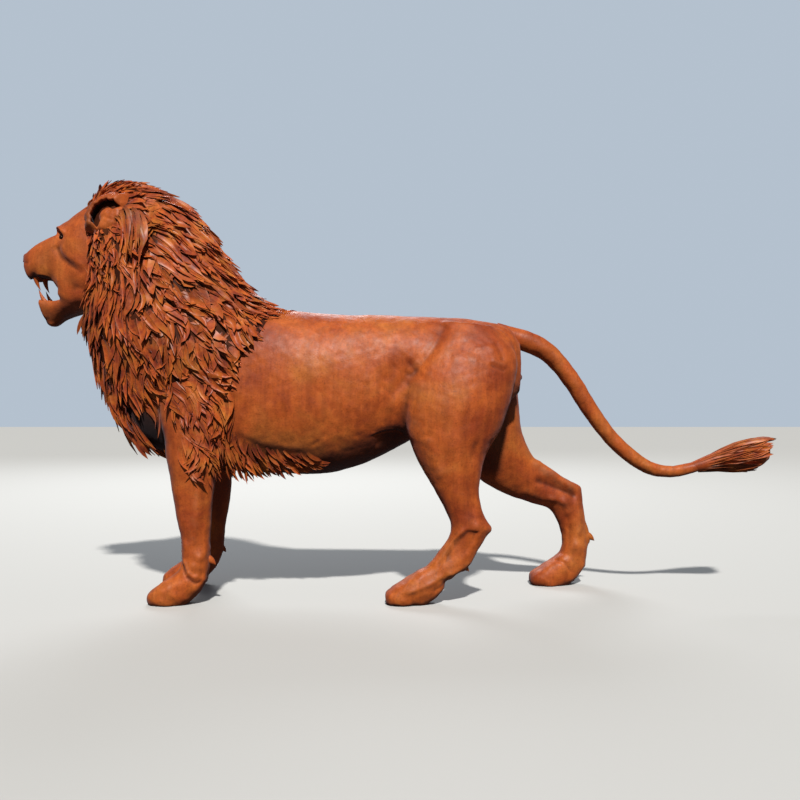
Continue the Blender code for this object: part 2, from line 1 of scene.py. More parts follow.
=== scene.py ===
# %% [markdown]
# # A life-size lion of welded steel
#
# The lion is built from 2 mm mild steel plate, hammered to shape and welded into a closed skin. The mane, the
# elbow tufts, the belly fringe and the tail's brush are strips of darker steel, each welded on by its root.
# The whole animal was left to rust and then sealed with a clear lacquer. The script builds the looks round
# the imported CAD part: first the skin, then the strips, then the finishes, and last the studio.
#
# Tables of places and sizes are in millimetres, and `metres` turns them into Blender's unit. Angles are in
# degrees, and shares are numbers from 0 to 1. In side view a place is (x, z).

# %% Set up
import math

import bpy
import numpy as np
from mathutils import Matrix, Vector
from mathutils.bvhtree import BVHTree


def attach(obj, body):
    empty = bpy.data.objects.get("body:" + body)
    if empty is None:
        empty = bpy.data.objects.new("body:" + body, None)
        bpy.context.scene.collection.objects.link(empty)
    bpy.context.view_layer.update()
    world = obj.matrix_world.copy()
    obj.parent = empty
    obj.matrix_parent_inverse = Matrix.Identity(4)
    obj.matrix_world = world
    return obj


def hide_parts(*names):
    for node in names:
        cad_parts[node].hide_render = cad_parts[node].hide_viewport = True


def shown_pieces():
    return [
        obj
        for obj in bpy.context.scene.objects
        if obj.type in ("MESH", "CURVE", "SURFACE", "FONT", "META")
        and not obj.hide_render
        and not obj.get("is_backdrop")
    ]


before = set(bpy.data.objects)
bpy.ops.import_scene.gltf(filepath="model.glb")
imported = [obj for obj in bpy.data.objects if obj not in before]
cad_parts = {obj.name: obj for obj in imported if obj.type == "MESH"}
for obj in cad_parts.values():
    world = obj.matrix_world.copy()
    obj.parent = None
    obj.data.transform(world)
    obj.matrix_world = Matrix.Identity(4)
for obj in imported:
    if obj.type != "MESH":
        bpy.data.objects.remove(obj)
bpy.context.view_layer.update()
LEFT, RIGHT = -1, 1   # the sign of y on each side of the lion, which looks along -X
SIDES = {LEFT: "left", RIGHT: "right"}

# %% [markdown]
# ## Small tools for surfaces
#
# Every new piece is worked out as whole numpy arrays: points in one array, faces in another. Blender gets
# them in one call. That is much quicker than a loop over vertices, and the formula stays readable.


# %% Surface tools
def metres(rows):
    """A number of millimetres, or nested rows of them, divided by 1000."""
    return tuple(map(metres, rows)) if isinstance(rows, tuple) else rows / 1000


def between(rows, count):
    """Smooth Catmull-Rom curve through the rows, read at count even steps: each point blends its four
    neighbouring rows with cubic weights, so the curve passes through every row."""
    rows = np.array(rows, float)
    ends = np.vstack([2 * rows[0] - rows[1], rows, 2 * rows[-1] - rows[-2]])
    place = np.linspace(0, len(rows) - 1 - 1e-9, count)
    low, f = place.astype(int), (place % 1)[:, None]
    before, start, end, after = (ends[low + i] for i in range(4))
    cubic = 3 * (start - end) + after - before
    return start + 0.5 * f * (end - before + f * (2 * before - 5 * start + 4 * end - after + f * cubic))


def tube(rings):
    """Closed skin over rings of equal size, an array (rings, points, 3): quads from ring to ring, and a cap
    polygon on each end."""
    count, sides = rings.shape[:2]
    ring, side = np.meshgrid(np.arange(count - 1), np.arange(sides), indexing="ij")
    a, b = ring * sides + side, ring * sides + (side + 1) % sides
    faces = np.stack([a, b, b + sides, a + sides], -1).reshape(-1, 4).tolist()
    caps = [list(range(sides))[::-1], list(range((count - 1) * sides, count * sides))]
    return rings.reshape(-1, 3), faces + caps


def loft(stations, rings=90, sides=72, square=2.2):
    """Limb through stations (one edge's x and z, the other edge's x and z, half width, middle y). Each ring
    is a superellipse: the cosine and sine of the angle, raised to the power 2 / square."""
    rows = between(stations, rings)
    y = rows[:, 5] if rows.shape[1] > 5 else np.zeros(rings)
    angle = np.linspace(0, 2 * math.pi, sides, endpoint=False)
    along, across = (np.sign(f) * np.abs(f) ** (2 / square) for f in (np.cos(angle), np.sin(angle)))
    middle, reach = (rows[:, :2] + rows[:, 2:4]) / 2, (rows[:, :2] - rows[:, 2:4]) / 2
    x = middle[:, :1] + reach[:, :1] * along
    z = middle[:, 1:] + reach[:, 1:] * along
    return tube(np.stack([x, y[:, None] + rows[:, 4:5] * across, z], -1))


def turned(degrees):
    """Rotation matrix from Euler angles in degrees, about X, then Y, then Z."""
    a, b, c = np.radians(degrees)
    about_x = np.array([[1, 0, 0], [0, math.cos(a), -math.sin(a)], [0, math.sin(a), math.cos(a)]])
    about_y = np.array([[math.cos(b), 0, math.sin(b)], [0, 1, 0], [-math.sin(b), 0, math.cos(b)]])
    about_z = np.array([[math.cos(c), -math.sin(c), 0], [math.sin(c), math.cos(c), 0], [0, 0, 1]])
    return about_z @ about_y @ about_x


def ball(centre, radii, turn=(0, 0, 0), sides=40):
    """Ellipsoid: circles of latitude from the lower pole to the upper, scaled by the radii, turned, and moved."""
    polar = np.linspace(math.pi - 0.02, 0.02, sides // 2)[:, None]
    angle = np.linspace(0, 2 * math.pi, sides, endpoint=False)[None, :]
    unit = np.stack([np.sin(polar) * np.cos(angle), np.sin(polar) * np.sin(angle),
                     np.cos(polar) * np.ones_like(angle)], -1)
    return tube((unit * np.array(radii)) @ turned(turn).T + np.array(centre))


def joined(parts):
    """Puts several (points, faces) pairs into one pair."""
    points, faces, start = [], [], 0
    for part_points, part_faces in parts:
        points.append(part_points)
        faces += [[i + start for i in face] for face in part_faces]
        start += len(part_points)
    return np.vstack(points), faces


def new_mesh(name, points, faces):
    """Makes a smooth-shaded object at the origin from arrays, and links it."""
    mesh = bpy.data.meshes.new(name)
    mesh.from_pydata(points if isinstance(points, list) else points.tolist(), [], faces)
    mesh.polygons.foreach_set("use_smooth", np.ones(len(mesh.polygons), bool))
    mesh.update()
    made = bpy.data.objects.new(name, mesh)
    bpy.context.scene.collection.objects.link(made)
    return made


def store(piece, marks):
    """Stores marks on a piece for its finish to read: a name each, and a value for every point."""
    for name, values in marks.items():
        attribute = piece.data.attributes.new(name, "FLOAT", "POINT")
        attribute.data.foreach_set("value", values.astype(np.float32))


def corners(mesh):
    """A mesh's points as an array, and its quads (or whatever it has) as an array of corner numbers."""
    points = np.empty(len(mesh.vertices) * 3)
    mesh.vertices.foreach_get("co", points)
    loops = np.empty(len(mesh.loops), int)
    mesh.loops.foreach_get("vertex_index", loops)
    return points.reshape(-1, 3), loops.reshape(len(mesh.polygons), -1)


def fused(points, faces, voxel):
    """Fuses overlapping closed shells into one skin of even quads, with Blender's voxel remesh."""
    raw = new_mesh("raw", points, faces)
    remesh = raw.modifiers.new("fuse", "REMESH")
    remesh.mode, remesh.voxel_size = "VOXEL", voxel
    shown = raw.evaluated_get(bpy.context.evaluated_depsgraph_get())
    result = corners(shown.to_mesh())
    bpy.data.objects.remove(raw)
    return result


def smoothed(points, quads, steps, strength=0.5):
    """Moves each point part of the way to the mean of the points that its quads' edges join it to."""
    edges = np.vstack([quads[:, [i, (i + 1) % 4]] for i in range(4)])
    count = np.maximum(np.bincount(edges[:, 0], minlength=len(points)), 1)[:, None]
    moved = points.copy()
    for _ in range(steps):
        mean = np.stack([np.bincount(edges[:, 0], moved[edges[:, 1], k], len(points)) for k in range(3)], 1)
        moved += (mean / count - moved) * strength
    return moved


def normals_of(points, quads):
    """Unit normal at each point: the sum of the cross products of its quads' diagonals, made a unit long."""
    area = np.cross(points[quads[:, 2]] - points[quads[:, 0]], points[quads[:, 3]] - points[quads[:, 1]])
    total = np.stack([sum(np.bincount(quads[:, i], area[:, k], len(points)) for i in range(4))
                      for k in range(3)], 1)
    return total / np.maximum(np.linalg.norm(total, axis=1), 1e-12)[:, None]


def waves(points, size, seed, octaves=3):
    """Smooth noise about zero, roughly from -1 to 1: sines along random directions, with wavelengths near
    size, halved and weakened for each octave."""
    draw = np.random.default_rng(seed)
    total = np.zeros(len(points))
    for octave in range(octaves):
        for _ in range(7):
            direction = draw.normal(size=3)
            direction *= 2 * math.pi / (size / 2 ** octave) / np.linalg.norm(direction) * draw.uniform(0.6, 1.3)
            total += np.sin(points @ direction + draw.uniform(0, 2 * math.pi)) * 0.55 ** octave
    return total / 4.5


def step_up(x, low, high):
    """0 below low, 1 above high, and a smooth S between them."""
    t = np.clip((x - low) / (high - low), 0, 1)
    return t * t * (3 - 2 * t)


# %% [markdown]
# ## The skin
#
# On the real lion the skin is plate, hammered over its edge and welded up in panels, then ground. It could be
# modelled by hand as a subdivision cage, but the CAD part already says where each limb's front and back
# edges run. So the same stations are lofted here much finer, the closed lofts are fused by a voxel remesh
# and smoothed, and the result has the flowing joints of ground welds. It is parted into five pieces at the
# end, only to keep each of them light.

# %% Stations of the limbs
LEG_Y = 190   # how far the paws stand from the middle
# One edge's x and z, the other edge's x and z, half width, and the middle's y where it isn't 0.
TORSO = metres((
    (-1070, 840, -1070, 700, 70), (-1020, 950, -1040, 610, 140), (-900, 1060, -940, 562, 190),
    (-720, 1130, -740, 500, 215), (-500, 1130, -500, 482, 225), (-300, 1116, -300, 480, 228),
    (-140, 1109, -140, 517, 220), (20, 1105, 20, 600, 195), (160, 1102, 140, 665, 175), (300, 1090, 280, 710, 165),
    (420, 1066, 400, 740, 135), (476, 1000, 476, 800, 75),
))
SKULL = metres((
    (-1120, 1555, -1100, 1200, 130), (-1200, 1563, -1160, 1160, 145), (-1270, 1522, -1205, 1160, 147),
    (-1316, 1483, -1245, 1180, 134), (-1352, 1441, -1285, 1200, 106),
))
MUZZLE = metres((
    (-1190, 1360, -1190, 1160, 112), (-1280, 1415, -1270, 1185, 113), (-1340, 1432, -1344, 1200, 102),
    (-1372, 1424, -1372, 1240, 95), (-1410, 1406, -1400, 1256, 90), (-1450, 1383, -1434, 1247, 82),
    (-1482, 1357, -1462, 1237, 71), (-1500, 1335, -1480, 1252, 53),
))
JAW = metres((
    (-1170, 1230, -1170, 1146, 110), (-1260, 1210, -1250, 1126, 104), (-1325, 1180, -1305, 1106, 86),
    (-1362, 1166, -1342, 1090, 72), (-1402, 1168, -1378, 1066, 62), (-1438, 1176, -1412, 1090, 50),
))
FORE_LEG = metres((
    (-980, 1000, -620, 1020, 100, -120), (-960, 860, -630, 880, 115, -135), (-925, 730, -650, 750, 110, -150),
    (-897, 620, -675, 630, 95, -165), (-885, 530, -695, 530, 80, -175), (-868, 450, -707, 450, 68, -180),
    (-849, 353, -714, 353, 58, -183), (-826, 250, -720, 250, 50, -185), (-823, 180, -718, 175, 52, -187),
    (-830, 140, -722, 125, 55, -190), (-850, 100, -745, 65, 58, -190),
))
HIND_LEG_LEFT = metres((
    (160, 1080, 360, 1060, 50, -85), (40, 930, 450, 940, 100, -118), (10, 780, 435, 800, 125, -135),
    (25, 650, 390, 665, 115, -150), (73.5, 520, 325, 550, 90, -165), (134, 420, 299, 436, 66, -180),
    (178, 335, 308, 360, 52, -185), (190, 310, 327, 316, 50, -188), (193, 284, 344, 279, 48, -190),
    (184, 252, 322, 247, 45, -190), (154, 206, 288, 198, 44, -190), (120, 166, 256, 142, 47, -190),
    (74, 125, 188, 88, 54, -190),
))
HIND_LEG_RIGHT = metres((
    (200, 1080, 380, 1060, 50, 85), (120, 910, 475, 930, 100, 118), (150, 720, 490, 780, 120, 135),
    (220, 550, 510, 630, 105, 150), (345, 432, 568, 520, 78, 165), (455, 372, 640, 472, 64, 175),
    (560, 338, 707, 436, 54, 185), (623, 316, 758, 406, 50, 190), (654, 276, 772, 320, 47, 190),
    (676, 205, 780, 240, 45, 190), (674, 140, 786, 150, 48, 190), (640, 90, 780, 70, 52, 190),
))
# The dewclaws stand on webs of plate behind the long foot bones: the web's upper and lower edge, and half width.
WEBS = metres((
    ((750, 290, 752, 150, 22, LEG_Y), (782, 262, 786, 158, 15, LEG_Y), (800, 216, 802, 174, 10, LEG_Y)),
    ((270, 215, 200, 125, 22, -LEG_Y), (276, 180, 235, 118, 16, -LEG_Y), (262, 145, 252, 124, 10, -LEG_Y)),
))
# A paw from heel (0) to toe (1): top and bottom over its height, and width over its own half width.
PAW = (
    (0.00, 0.83, 0.40, 0.55), (0.16, 0.97, 0.12, 0.80), (0.38, 0.95, -0.08, 0.95), (0.58, 0.74, -0.09, 1.00),
    (0.78, 0.53, -0.09, 1.00), (0.92, 0.38, -0.07, 0.86), (1.00, 0.24, 0.03, 0.55),
)
PAW_LENGTH, PAW_HEIGHT, PAW_HALF_WIDTH = 0.225, 0.145, 0.066
# Each paw's foremost x, its middle's y, and the share of its height that its heel is cut up by.
PAWS = ((-952, -LEG_Y, 0.20), (-992, LEG_Y, 0.20), (-56, -LEG_Y, 0), (543, LEG_Y, 0))
FAR_STEP, WRIST_Z = 0.040, 0.35   # the right forepaw stands this far ahead of the left, from the wrist down
EYE = metres((-1317, 100, 1406))


# %% Fuse the skin
def paw(toe_x, y, cut):
    """A rounded wedge that points along -X, with four toe pads side by side at its front. The cut under the
    heel falls evenly to nothing at half the paw's length."""
    heel_x = toe_x + PAW_LENGTH
    rows = [(heel_x - f * PAW_LENGTH, top * PAW_HEIGHT, heel_x - f * PAW_LENGTH,
             (low + cut * max(0, 1 - 2 * f)) * PAW_HEIGHT, width * PAW_HALF_WIDTH, y) for f, top, low, width in PAW]
    parts = [loft(rows, 60, 60, 2.5)]
    pitch = PAW_HALF_WIDTH / 2
    for k in range(4):
        side = k - 1.5
        centre = (toe_x + 0.058 - 0.010 * (abs(side) < 1), y + side * pitch, 0.024)
        parts.append(ball(centre, (0.052, pitch * 0.62, 0.027), (0, 16, side * 3)))
    return parts


def right_foreleg():
    """The left foreleg mirrored, leaning forward below the wrist to its own paw."""
    rows = np.array(FORE_LEG)
    for x, z in ((0, 1), (2, 3)):
        rows[:, x] -= FAR_STEP * np.maximum(0, 1 - rows[:, z] / WRIST_Z)
    rows[:, 5] *= -1
    return rows


def face_forms():
    """Brows, cheeks, lip pads, jaw hinge, nose pad and chin, as ellipsoids that the remesh blends in."""
    parts = []
    for side in SIDES:
        parts += [
            ball((-1.312, 0.070 * side, 1.451), (0.050, 0.052, 0.014), (-20 * side, -36, -20 * side)),   # brow
            ball((-1.195, 0.108 * side, 1.290), (0.090, 0.040, 0.100), (0, 30, 0)),                      # cheek
            ball((-1.392, 0.056 * side, 1.294), (0.080, 0.037, 0.046), (0, 14, -6 * side)),              # lip pad
            ball((-1.20, 0.088 * side, 1.185), (0.10, 0.035, 0.045)),               # jaw hinge
            ball((-1.276, 0.078 * side, 1.194), (0.066, 0.034, 0.050)),             # behind the mouth's corner
            ball((-1.272, 0.086 * side, 1.245), (0.072, 0.031, 0.078), (0, 20, 0)),   # between that and the cheek
        ]
    nose_pad = ball((-1.480, 0, 1.333), (0.022, 0.046, 0.020), (0, 30, 0))
    chin = ball((-1.386, 0, 1.090), (0.030, 0.036, 0.028), (0, 16, 0))
    return parts + [nose_pad, chin]


def keeled(points, faces):
    """The lower jaw's sides lean inwards: its width falls evenly from the lip's height to the chin's."""
    narrow = np.interp(points[:, 2], (1.055, 1.165), (0.55, 1.10))
    return points * np.stack([np.ones_like(narrow), narrow, np.ones_like(narrow)], 1), faces


SKIN_VOXEL, SKIN_SMOOTHING = 0.005, 14
shapes = [loft(TORSO, 160, 120, 2.25), loft(SKULL), loft(MUZZLE, square=2.7), keeled(*loft(JAW, square=2.6)),
          loft(FORE_LEG), loft(right_foreleg()),
          loft(HIND_LEG_LEFT, 120, 90, 2.0), loft(HIND_LEG_RIGHT, 120, 90, 2.0)]
shapes += face_forms()
shapes += [loft(rows, 24, 32) for rows in WEBS]
for toe_x, y, cut in PAWS:
    shapes += paw(toe_x / 1000, y / 1000, cut)
skin, quads = fused(*joined(shapes), SKIN_VOXEL)
skin = smoothed(skin, quads, SKIN_SMOOTHING)
print("skin", len(skin), "points", len(quads), "quads")

# %% [markdown]
# ## Sculpting by formula
#
# Welds, hammer marks and creases are what tell the eye that this is steel plate and not clay. In a sculpting
# program they would be brush strokes. Here each stroke is a line of points on the lion's side, with a depth
# and a width: every point of the skin near the line moves along its normal by a bell curve of its distance.


# %% Strokes
def to_line(points, line, count=40):
    """Distance in side view from each point to a smooth line, and the place along it, 0 to 1."""
    dots = between(line, count) if len(line) > 2 else np.linspace(line[0], line[1], count)
    a, b = dots[:-1], dots[1:]
    span = b - a
    flat = points[:, [0, 2]]
    best, place = np.full(len(points), 9.0), np.zeros(len(points))
    for i in range(len(a)):
        t = np.clip((flat - a[i]) @ span[i] / (span[i] @ span[i]), 0, 1)
        away = np.hypot(*(flat - a[i] - t[:, None] * span[i]).T)
        nearer = away < best
        best[nearer], place[nearer] = away[nearer], (i + t[nearer]) / len(a)
    return best, place


def in_outline(points, outline):
    """Which points lie inside a closed outline of (x, z) in side view: a ray towards +x crosses the outline
    an odd number of times."""
    x, z = points[..., 0], points[..., 2]
    odd = np.zeros(x.shape, bool)
    for (x0, z0), (x1, z1) in zip(outline, outline[1:] + outline[:1]):
        crosses = (z0 > z) != (z1 > z)
        odd ^= crosses & (x < (x1 - x0) * (z - z0) / (z1 - z0 + 1e-12) + x0)
    return odd


def facing(points, normals, side, inner=False):
    """Points on a side's half of the lion that look outwards, or, on a leg's inner face, inwards."""
    look = -side if inner else side
    return step_up(points[:, 1] * side, 0.0, 0.03) * step_up(normals[:, 1] * look, 0.05, 0.45)


FADE = 0.15   # of a stroke's length, at each end


def stroke(points, normals, side, line, depth, width, inner=False):
    """Bell-shaped move along the normals near a line, fading at both of the line's ends. A positive depth
    raises a ridge and a negative one presses a crease. Returns the move at each point."""
    inside = points[:, 1] * side > -0.01
    low, high = np.min(line, 0) - 3 * width, np.max(line, 0) + 3 * width   # beyond 3 widths the bell is nil
    flat = points[:, [0, 2]]
    inside &= ((flat > low) & (flat < high)).all(1)
    move = np.zeros(len(points))
    near, place = to_line(points[inside], line)
    ends = step_up(place, 0, FADE) * step_up(1 - place, 0, FADE)
    move[inside] = depth * np.exp(-(near / width) ** 2) * ends
    return move * facing(points, normals, side, inner)


def pressed(points, normals, side, outline, edges, depth):
    """Presses the plate in by one depth over a whole outline. Each of its sides has its own width, over which
    the plate goes down from it. Returns the move at each point."""
    inside = in_outline(points, outline) & (points[:, 1] * side > 0)
    move = np.zeros(len(points))
    border = np.array(outline + outline[:1])
    away = np.min([to_line(points[inside], border[i:i + 2], 2)[0] / edge for i, edge in enumerate(edges)], 0)
    move[inside] = -depth * step_up(away, 0, 1)
    return move * facing(points, normals, side)


def dab(points, centre, radius, height):
    """Bell-shaped move round one point in space. Returns the move at each point."""
    return height * np.exp(-np.sum((points - np.array(centre)) ** 2, 1) / radius ** 2)


# Strokes on the outer faces: side, line, depth and width. A positive depth is a ridge, a negative one a crease.
OUTER = (
    # Hip weld: from the top of the rump forwards and down over the flank, with its beaten hollow.
    (LEFT, ((185, 1065), (160, 1030), (106, 939), (30, 864), (-60, 739)), -6, 20),
    (LEFT, ((150, 1030), (98, 950), (60, 900), (30, 872)), 5, 12),
    (LEFT, ((60, 915), (0, 860), (-70, 790)), -8.5, 52), (LEFT, ((-10, 905), (-70, 845)), -4, 30),
    (RIGHT, ((200, 1060), (150, 980), (80, 890), (20, 780)), -7, 24), (RIGHT, ((90, 930), (20, 850)), -7, 50),
    # Front edge of the thigh.
    (LEFT, ((34, 860), (18, 800), (16, 720), (28, 640)), -4, 24),
    (LEFT, ((75, 860), (55, 780), (56, 700), (75, 600)), 4, 34),
    (RIGHT, ((110, 880), (110, 780), (150, 660)), -7.5, 20),
    # Fold where the belly plate tucks under the thigh.
    (LEFT, ((-105, 638), (-55, 655), (-10, 657), (28, 630)), -3, 10),
    (RIGHT, ((-60, 640), (0, 670), (70, 680)), -6, 16),
    # Creases round the tail's root and over the rump.
    (LEFT, ((362, 1068), (405, 1045), (438, 1000), (450, 955)), -4.5, 10),
    (LEFT, ((360, 995), (384, 950), (388, 912)), -3.5, 13), (LEFT, ((270, 960), (325, 970), (365, 955)), 2.8, 12),
    (LEFT, ((335, 908), (368, 888), (400, 878)), -3, 8), (LEFT, ((345, 924), (375, 908), (405, 896)), 2.6, 9),
    (LEFT, ((190, 930), (250, 925), (300, 912)), 2.8, 22), (RIGHT, ((350, 1060), (365, 980), (385, 900)), -6, 13),
    (RIGHT, ((250, 930), (330, 920)), 4, 20),
    # Upper edge of the belly plate.
    (LEFT, ((-660, 650), (-620, 630), (-561, 608), (-521, 586), (-418, 568), (-330, 564)), -1.4, 13),
    (LEFT, ((-620, 655), (-561, 630), (-510, 608), (-418, 590), (-350, 588)), 1.6, 15),
    (LEFT, ((-350, 588), (-300, 618), (-268, 655), (-252, 690)), -1.4, 8),
    (RIGHT, ((-640, 630), (-520, 600), (-400, 586), (-240, 592)), -4, 11),
    # Panel seams of the flank, nearly ground away.
    (LEFT, ((-300, 1080), (-310, 940), (-290, 780), (-300, 620)), -1.4, 10),
    (RIGHT, ((-340, 1080), (-330, 900), (-350, 640)), -1.6, 10),
    # Shoulder's rear edge, and the foreleg: ridge, tendon and wrist.
    (LEFT, ((-640, 800), (-650, 700), (-680, 600)), -6, 22),
    (LEFT, ((-760, 540), (-757, 430), (-768, 300), (-775, 210)), 5, 13),
    (LEFT, ((-728, 520), (-730, 400), (-738, 270)), -4.5, 12),
    (LEFT, ((-820, 500), (-805, 380), (-800, 290)), -2.5, 18),
    (RIGHT, ((-780, 540), (-770, 420), (-790, 280)), 5, 13),
    (RIGHT, ((-735, 520), (-740, 380), (-750, 270)), -4.5, 12),
    # Seam between foreleg and paw: a V over the outer side.
    (LEFT, ((-826, 175), (-806, 135), (-784, 104), (-758, 86), (-735, 100)), -6, 6),
    (LEFT, ((-812, 178), (-796, 140), (-772, 112), (-745, 112)), 5, 8),
    (RIGHT, ((-860, 160), (-835, 120), (-795, 95), (-765, 110)), -5.5, 7),
    # Left hind leg: knee, calf, hock and the flat outer panel over the long foot bones.
    (LEFT, ((105, 640), (120, 560), (165, 470)), 4.5, 24),
    (LEFT, ((300, 640), (260, 520), (262, 420), (285, 340)), -5.5, 16),
    (LEFT, ((318, 520), (302, 430), (318, 340)), 3.5, 12),
    (LEFT, ((245, 292), (205, 245), (165, 192), (120, 140)), 5, 9),
    (LEFT, ((332, 268), (296, 205), (262, 160), (200, 122), (170, 118)), 5.5, 10),
    (LEFT, ((170, 120), (125, 88), (70, 66), (10, 46)), 4.5, 10),
    (LEFT, ((185, 100), (160, 70), (120, 52)), -5, 10), (LEFT, ((150, 168), (142, 140), (130, 110)), -3, 7),
    # Right hind leg, outer side.
    (RIGHT, ((700, 330), (720, 260), (725, 180)), -6, 14), (RIGHT, ((420, 460), (530, 430), (640, 390)), -5, 16),
)
# Strokes on the inner faces of the legs.
INNER = (
    (RIGHT, ((540, 530), (611, 474), (665, 437), (735, 394)), 16, 15),
    (RIGHT, ((540, 450), (628, 416), (690, 392), (750, 366)), -12, 19),
    (RIGHT, ((600, 370), (655, 358), (690, 335), (700, 290)), 5, 11),
    (RIGHT, ((500, 400), (580, 372), (660, 350)), 4, 16), (RIGHT, ((735, 360), (745, 280), (745, 200)), 4, 12),
    (RIGHT, ((690, 300), (705, 230), (700, 150)), -4, 14), (RIGHT, ((640, 110), (680, 95), (720, 50)), -5, 8),
    (RIGHT, ((-780, 520), (-780, 400), (-800, 280)), 4.5, 14),
    (LEFT, ((-760, 520), (-760, 400), (-775, 280)), 4.5, 14), (LEFT, ((300, 600), (260, 480), (280, 360)), -5, 18),
    (LEFT, ((270, 255), (215, 180)), -7, 17),
)
# Flat panels beaten in between ridges: side, outline, how wide the slope along each of its sides is, and depth.
PANELS = (
    (LEFT, ((250, 287), (305, 277), (282, 221), (245, 160), (205, 138), (165, 148), (164, 184), (198, 240)),
     (9, 20, 24, 50, 40, 14, 8, 8), 8.5),
    # The belly plate tucks in under the thigh.
    (LEFT, ((-120, 634), (-88, 645), (-55, 655), (-10, 657), (20, 642), (34, 610), (-20, 565), (-120, 545)),
     (10, 10, 10, 10, 10, 60, 70, 50), 13),
)
# Weld lumps and knobs: centre, radius, height.
DABS = metres((
    ((-806, -232, 222), 16, 6), ((-745, -238, 182), 17, 6.5), ((-770, -240, 150), 13, 4.5),
    ((-792, -240, 118), 9, 4.5), ((-735, -236, 94), 10, 5), ((-722, -230, 200), 14, 5), ((-880, -235, 60), 30, 4),
    ((-845, 236, 215), 18, 6), ((290, -235, 296), 15, 4), ((325, -225, 285), 14, 3), ((250, -215, 128), 12, 4),
    ((195, -236, 122), 16, 5), ((339, -190, 281), 14, 6), ((755, 190, 402), 14, 4), ((60, -245, 75), 30, 4),
    ((684, 142, 350), 20, 7), ((733, 146, 165), 26, 7), ((690, 148, 85), 15, 6), ((745, 150, 395), 22, 4),
    ((476, 0, 862), 16, 12), ((740, 235, 395), 22, 7), ((352, -120, 1020), 12, 3),
))


# %% Work the strokes into the trunk and the legs
RIDGE, LUMP = 0.006, 0.010   # height of a stroke, and of a dab, that counts as a whole ground weld
normals = normals_of(skin, quads)
move = np.zeros(len(skin))
# The weld mark also carries a painted highlight: the finish greys every raised ridge and lump, where light catches
# them.
weld = np.zeros(len(skin))   # 1 on ground welds and ridges, for the finish
for rows, inner in ((OUTER, False), (INNER, True)):
    for side, line, depth, width in rows:
        change = stroke(skin, normals, side, metres(line), depth / 1000, width / 1000, inner)
        move += change
        weld = np.maximum(weld, change / RIDGE)
for side, outline, edges, depth in PANELS:
    move += pressed(skin, normals, side, metres(outline), metres(edges), depth / 1000)
for centre, radius, height in DABS:
    change = dab(skin, centre, radius, height)
    move += change
    weld = np.maximum(weld, change / LUMP)
skin += normals * move[:, None]
print("strokes move the skin by", round(move.min() * 1000, 1), "to", round(move.max() * 1000, 1), "mm")

# %% [markdown]
# ## The head
#
# The face is the smoothest part of the lion: the muzzle, the cheek plate and the forehead are three sheets
# that meet at the eye, and the forehead's front edge is left standing over it like an eave. The eye hollow,
# the nostrils and the lips are cut in afterwards, as a maker would with a grinder.


# %% Cut and press the face
def hollow(points, centre, radii, turn, depth):
    """Presses points inside an ellipsoid inwards along their normals, most at its middle."""
    local = (points - np.array(centre)) @ turned(turn) / np.array(radii)
    inside = np.clip(1 - np.sum(local ** 2, 1), 0, 1)
    return -depth * np.sqrt(inside) * (inside > 0)


UPPER_LIP = ((-1462, 1244), (-1422, 1260), (-1388, 1258), (-1358, 1238), (-1334, 1205))
LOWER_LIP = ((-1424, 1164), (-1382, 1158), (-1350, 1170), (-1334, 1192))
FACE = metres((
    # The step between the cheek plate and the muzzle.
    (((-1333, 1378), (-1328, 1352), (-1306, 1318), (-1272, 1292), (-1240, 1270), (-1215, 1245)), -5, 22),
    (((-1333, 1378), (-1326, 1346), (-1304, 1313), (-1268, 1287), (-1236, 1263)), -2.6, 9),
    (((-1316, 1376), (-1308, 1350), (-1286, 1326), (-1250, 1304), (-1210, 1280)), 4, 14),
    # Brow, from the middle of the face out over the eye.
    (((-1360, 1450), (-1340, 1444), (-1317, 1431), (-1295, 1409)), 6, 9),
    # Lips.
    (UPPER_LIP, 2.5, 6), (LOWER_LIP, 3, 6),
    # Line under the nose pad and round the nostril.
    (((-1494, 1334), (-1480, 1312), (-1460, 1308), (-1442, 1332)), -3, 6),
    # The jaw's angular lower edge and the chin's corner.
    (((-1400, 1074), (-1368, 1070), (-1320, 1096), (-1250, 1122)), 3.5, 8),
    (((-1434, 1172), (-1424, 1130), (-1404, 1086)), 3, 10),
))
normals = normals_of(skin, quads)
on_head = step_up(-skin[:, 0], 1.12, 1.16) * step_up(skin[:, 2], 1.0, 1.05)
move = np.zeros(len(skin))
for line, depth, width in FACE:
    for side in SIDES:
        move += stroke(skin, normals, side, line, depth, width)
# The eye's hollow under the brow, and the nostril in two steps, its front and its side.
for side in SIDES:
    x, y, z = EYE
    move += hollow(skin, (x - 0.020, (y - 0.008) * side, z + 0.016), (0.040, 0.040, 0.0135), (0, 42, 0), 0.034)
    move += hollow(skin, (-1.494, 0.024 * side, 1.310), (0.016, 0.014, 0.013), (0, 40, 0), 0.018)
    move += hollow(skin, (-1.482, 0.046 * side, 1.306), (0.015, 0.014, 0.010), (0, 30, 0), 0.014)
# The groove under the nose, and the palate.
move += hollow(skin, (-1.488, 0, 1.276), (0.030, 0.005, 0.034), (0, 0, 0), 0.008)
move += hollow(skin, (-1.405, 0, 1.232), (0.078, 0.062, 0.034), (0, 0, 0), 0.034)
# A weld drop at the mouth's corner, the flat front of the muzzle and the nose's tip.
for centre, radius, height in (((-1.334, -0.100, 1.237), 0.0055, 0.0030), ((-1.507, 0, 1.264), 0.048, -0.013),
                               ((-1.498, 0, 1.348), 0.022, 0.012)):
    move += dab(skin, centre, radius, height)
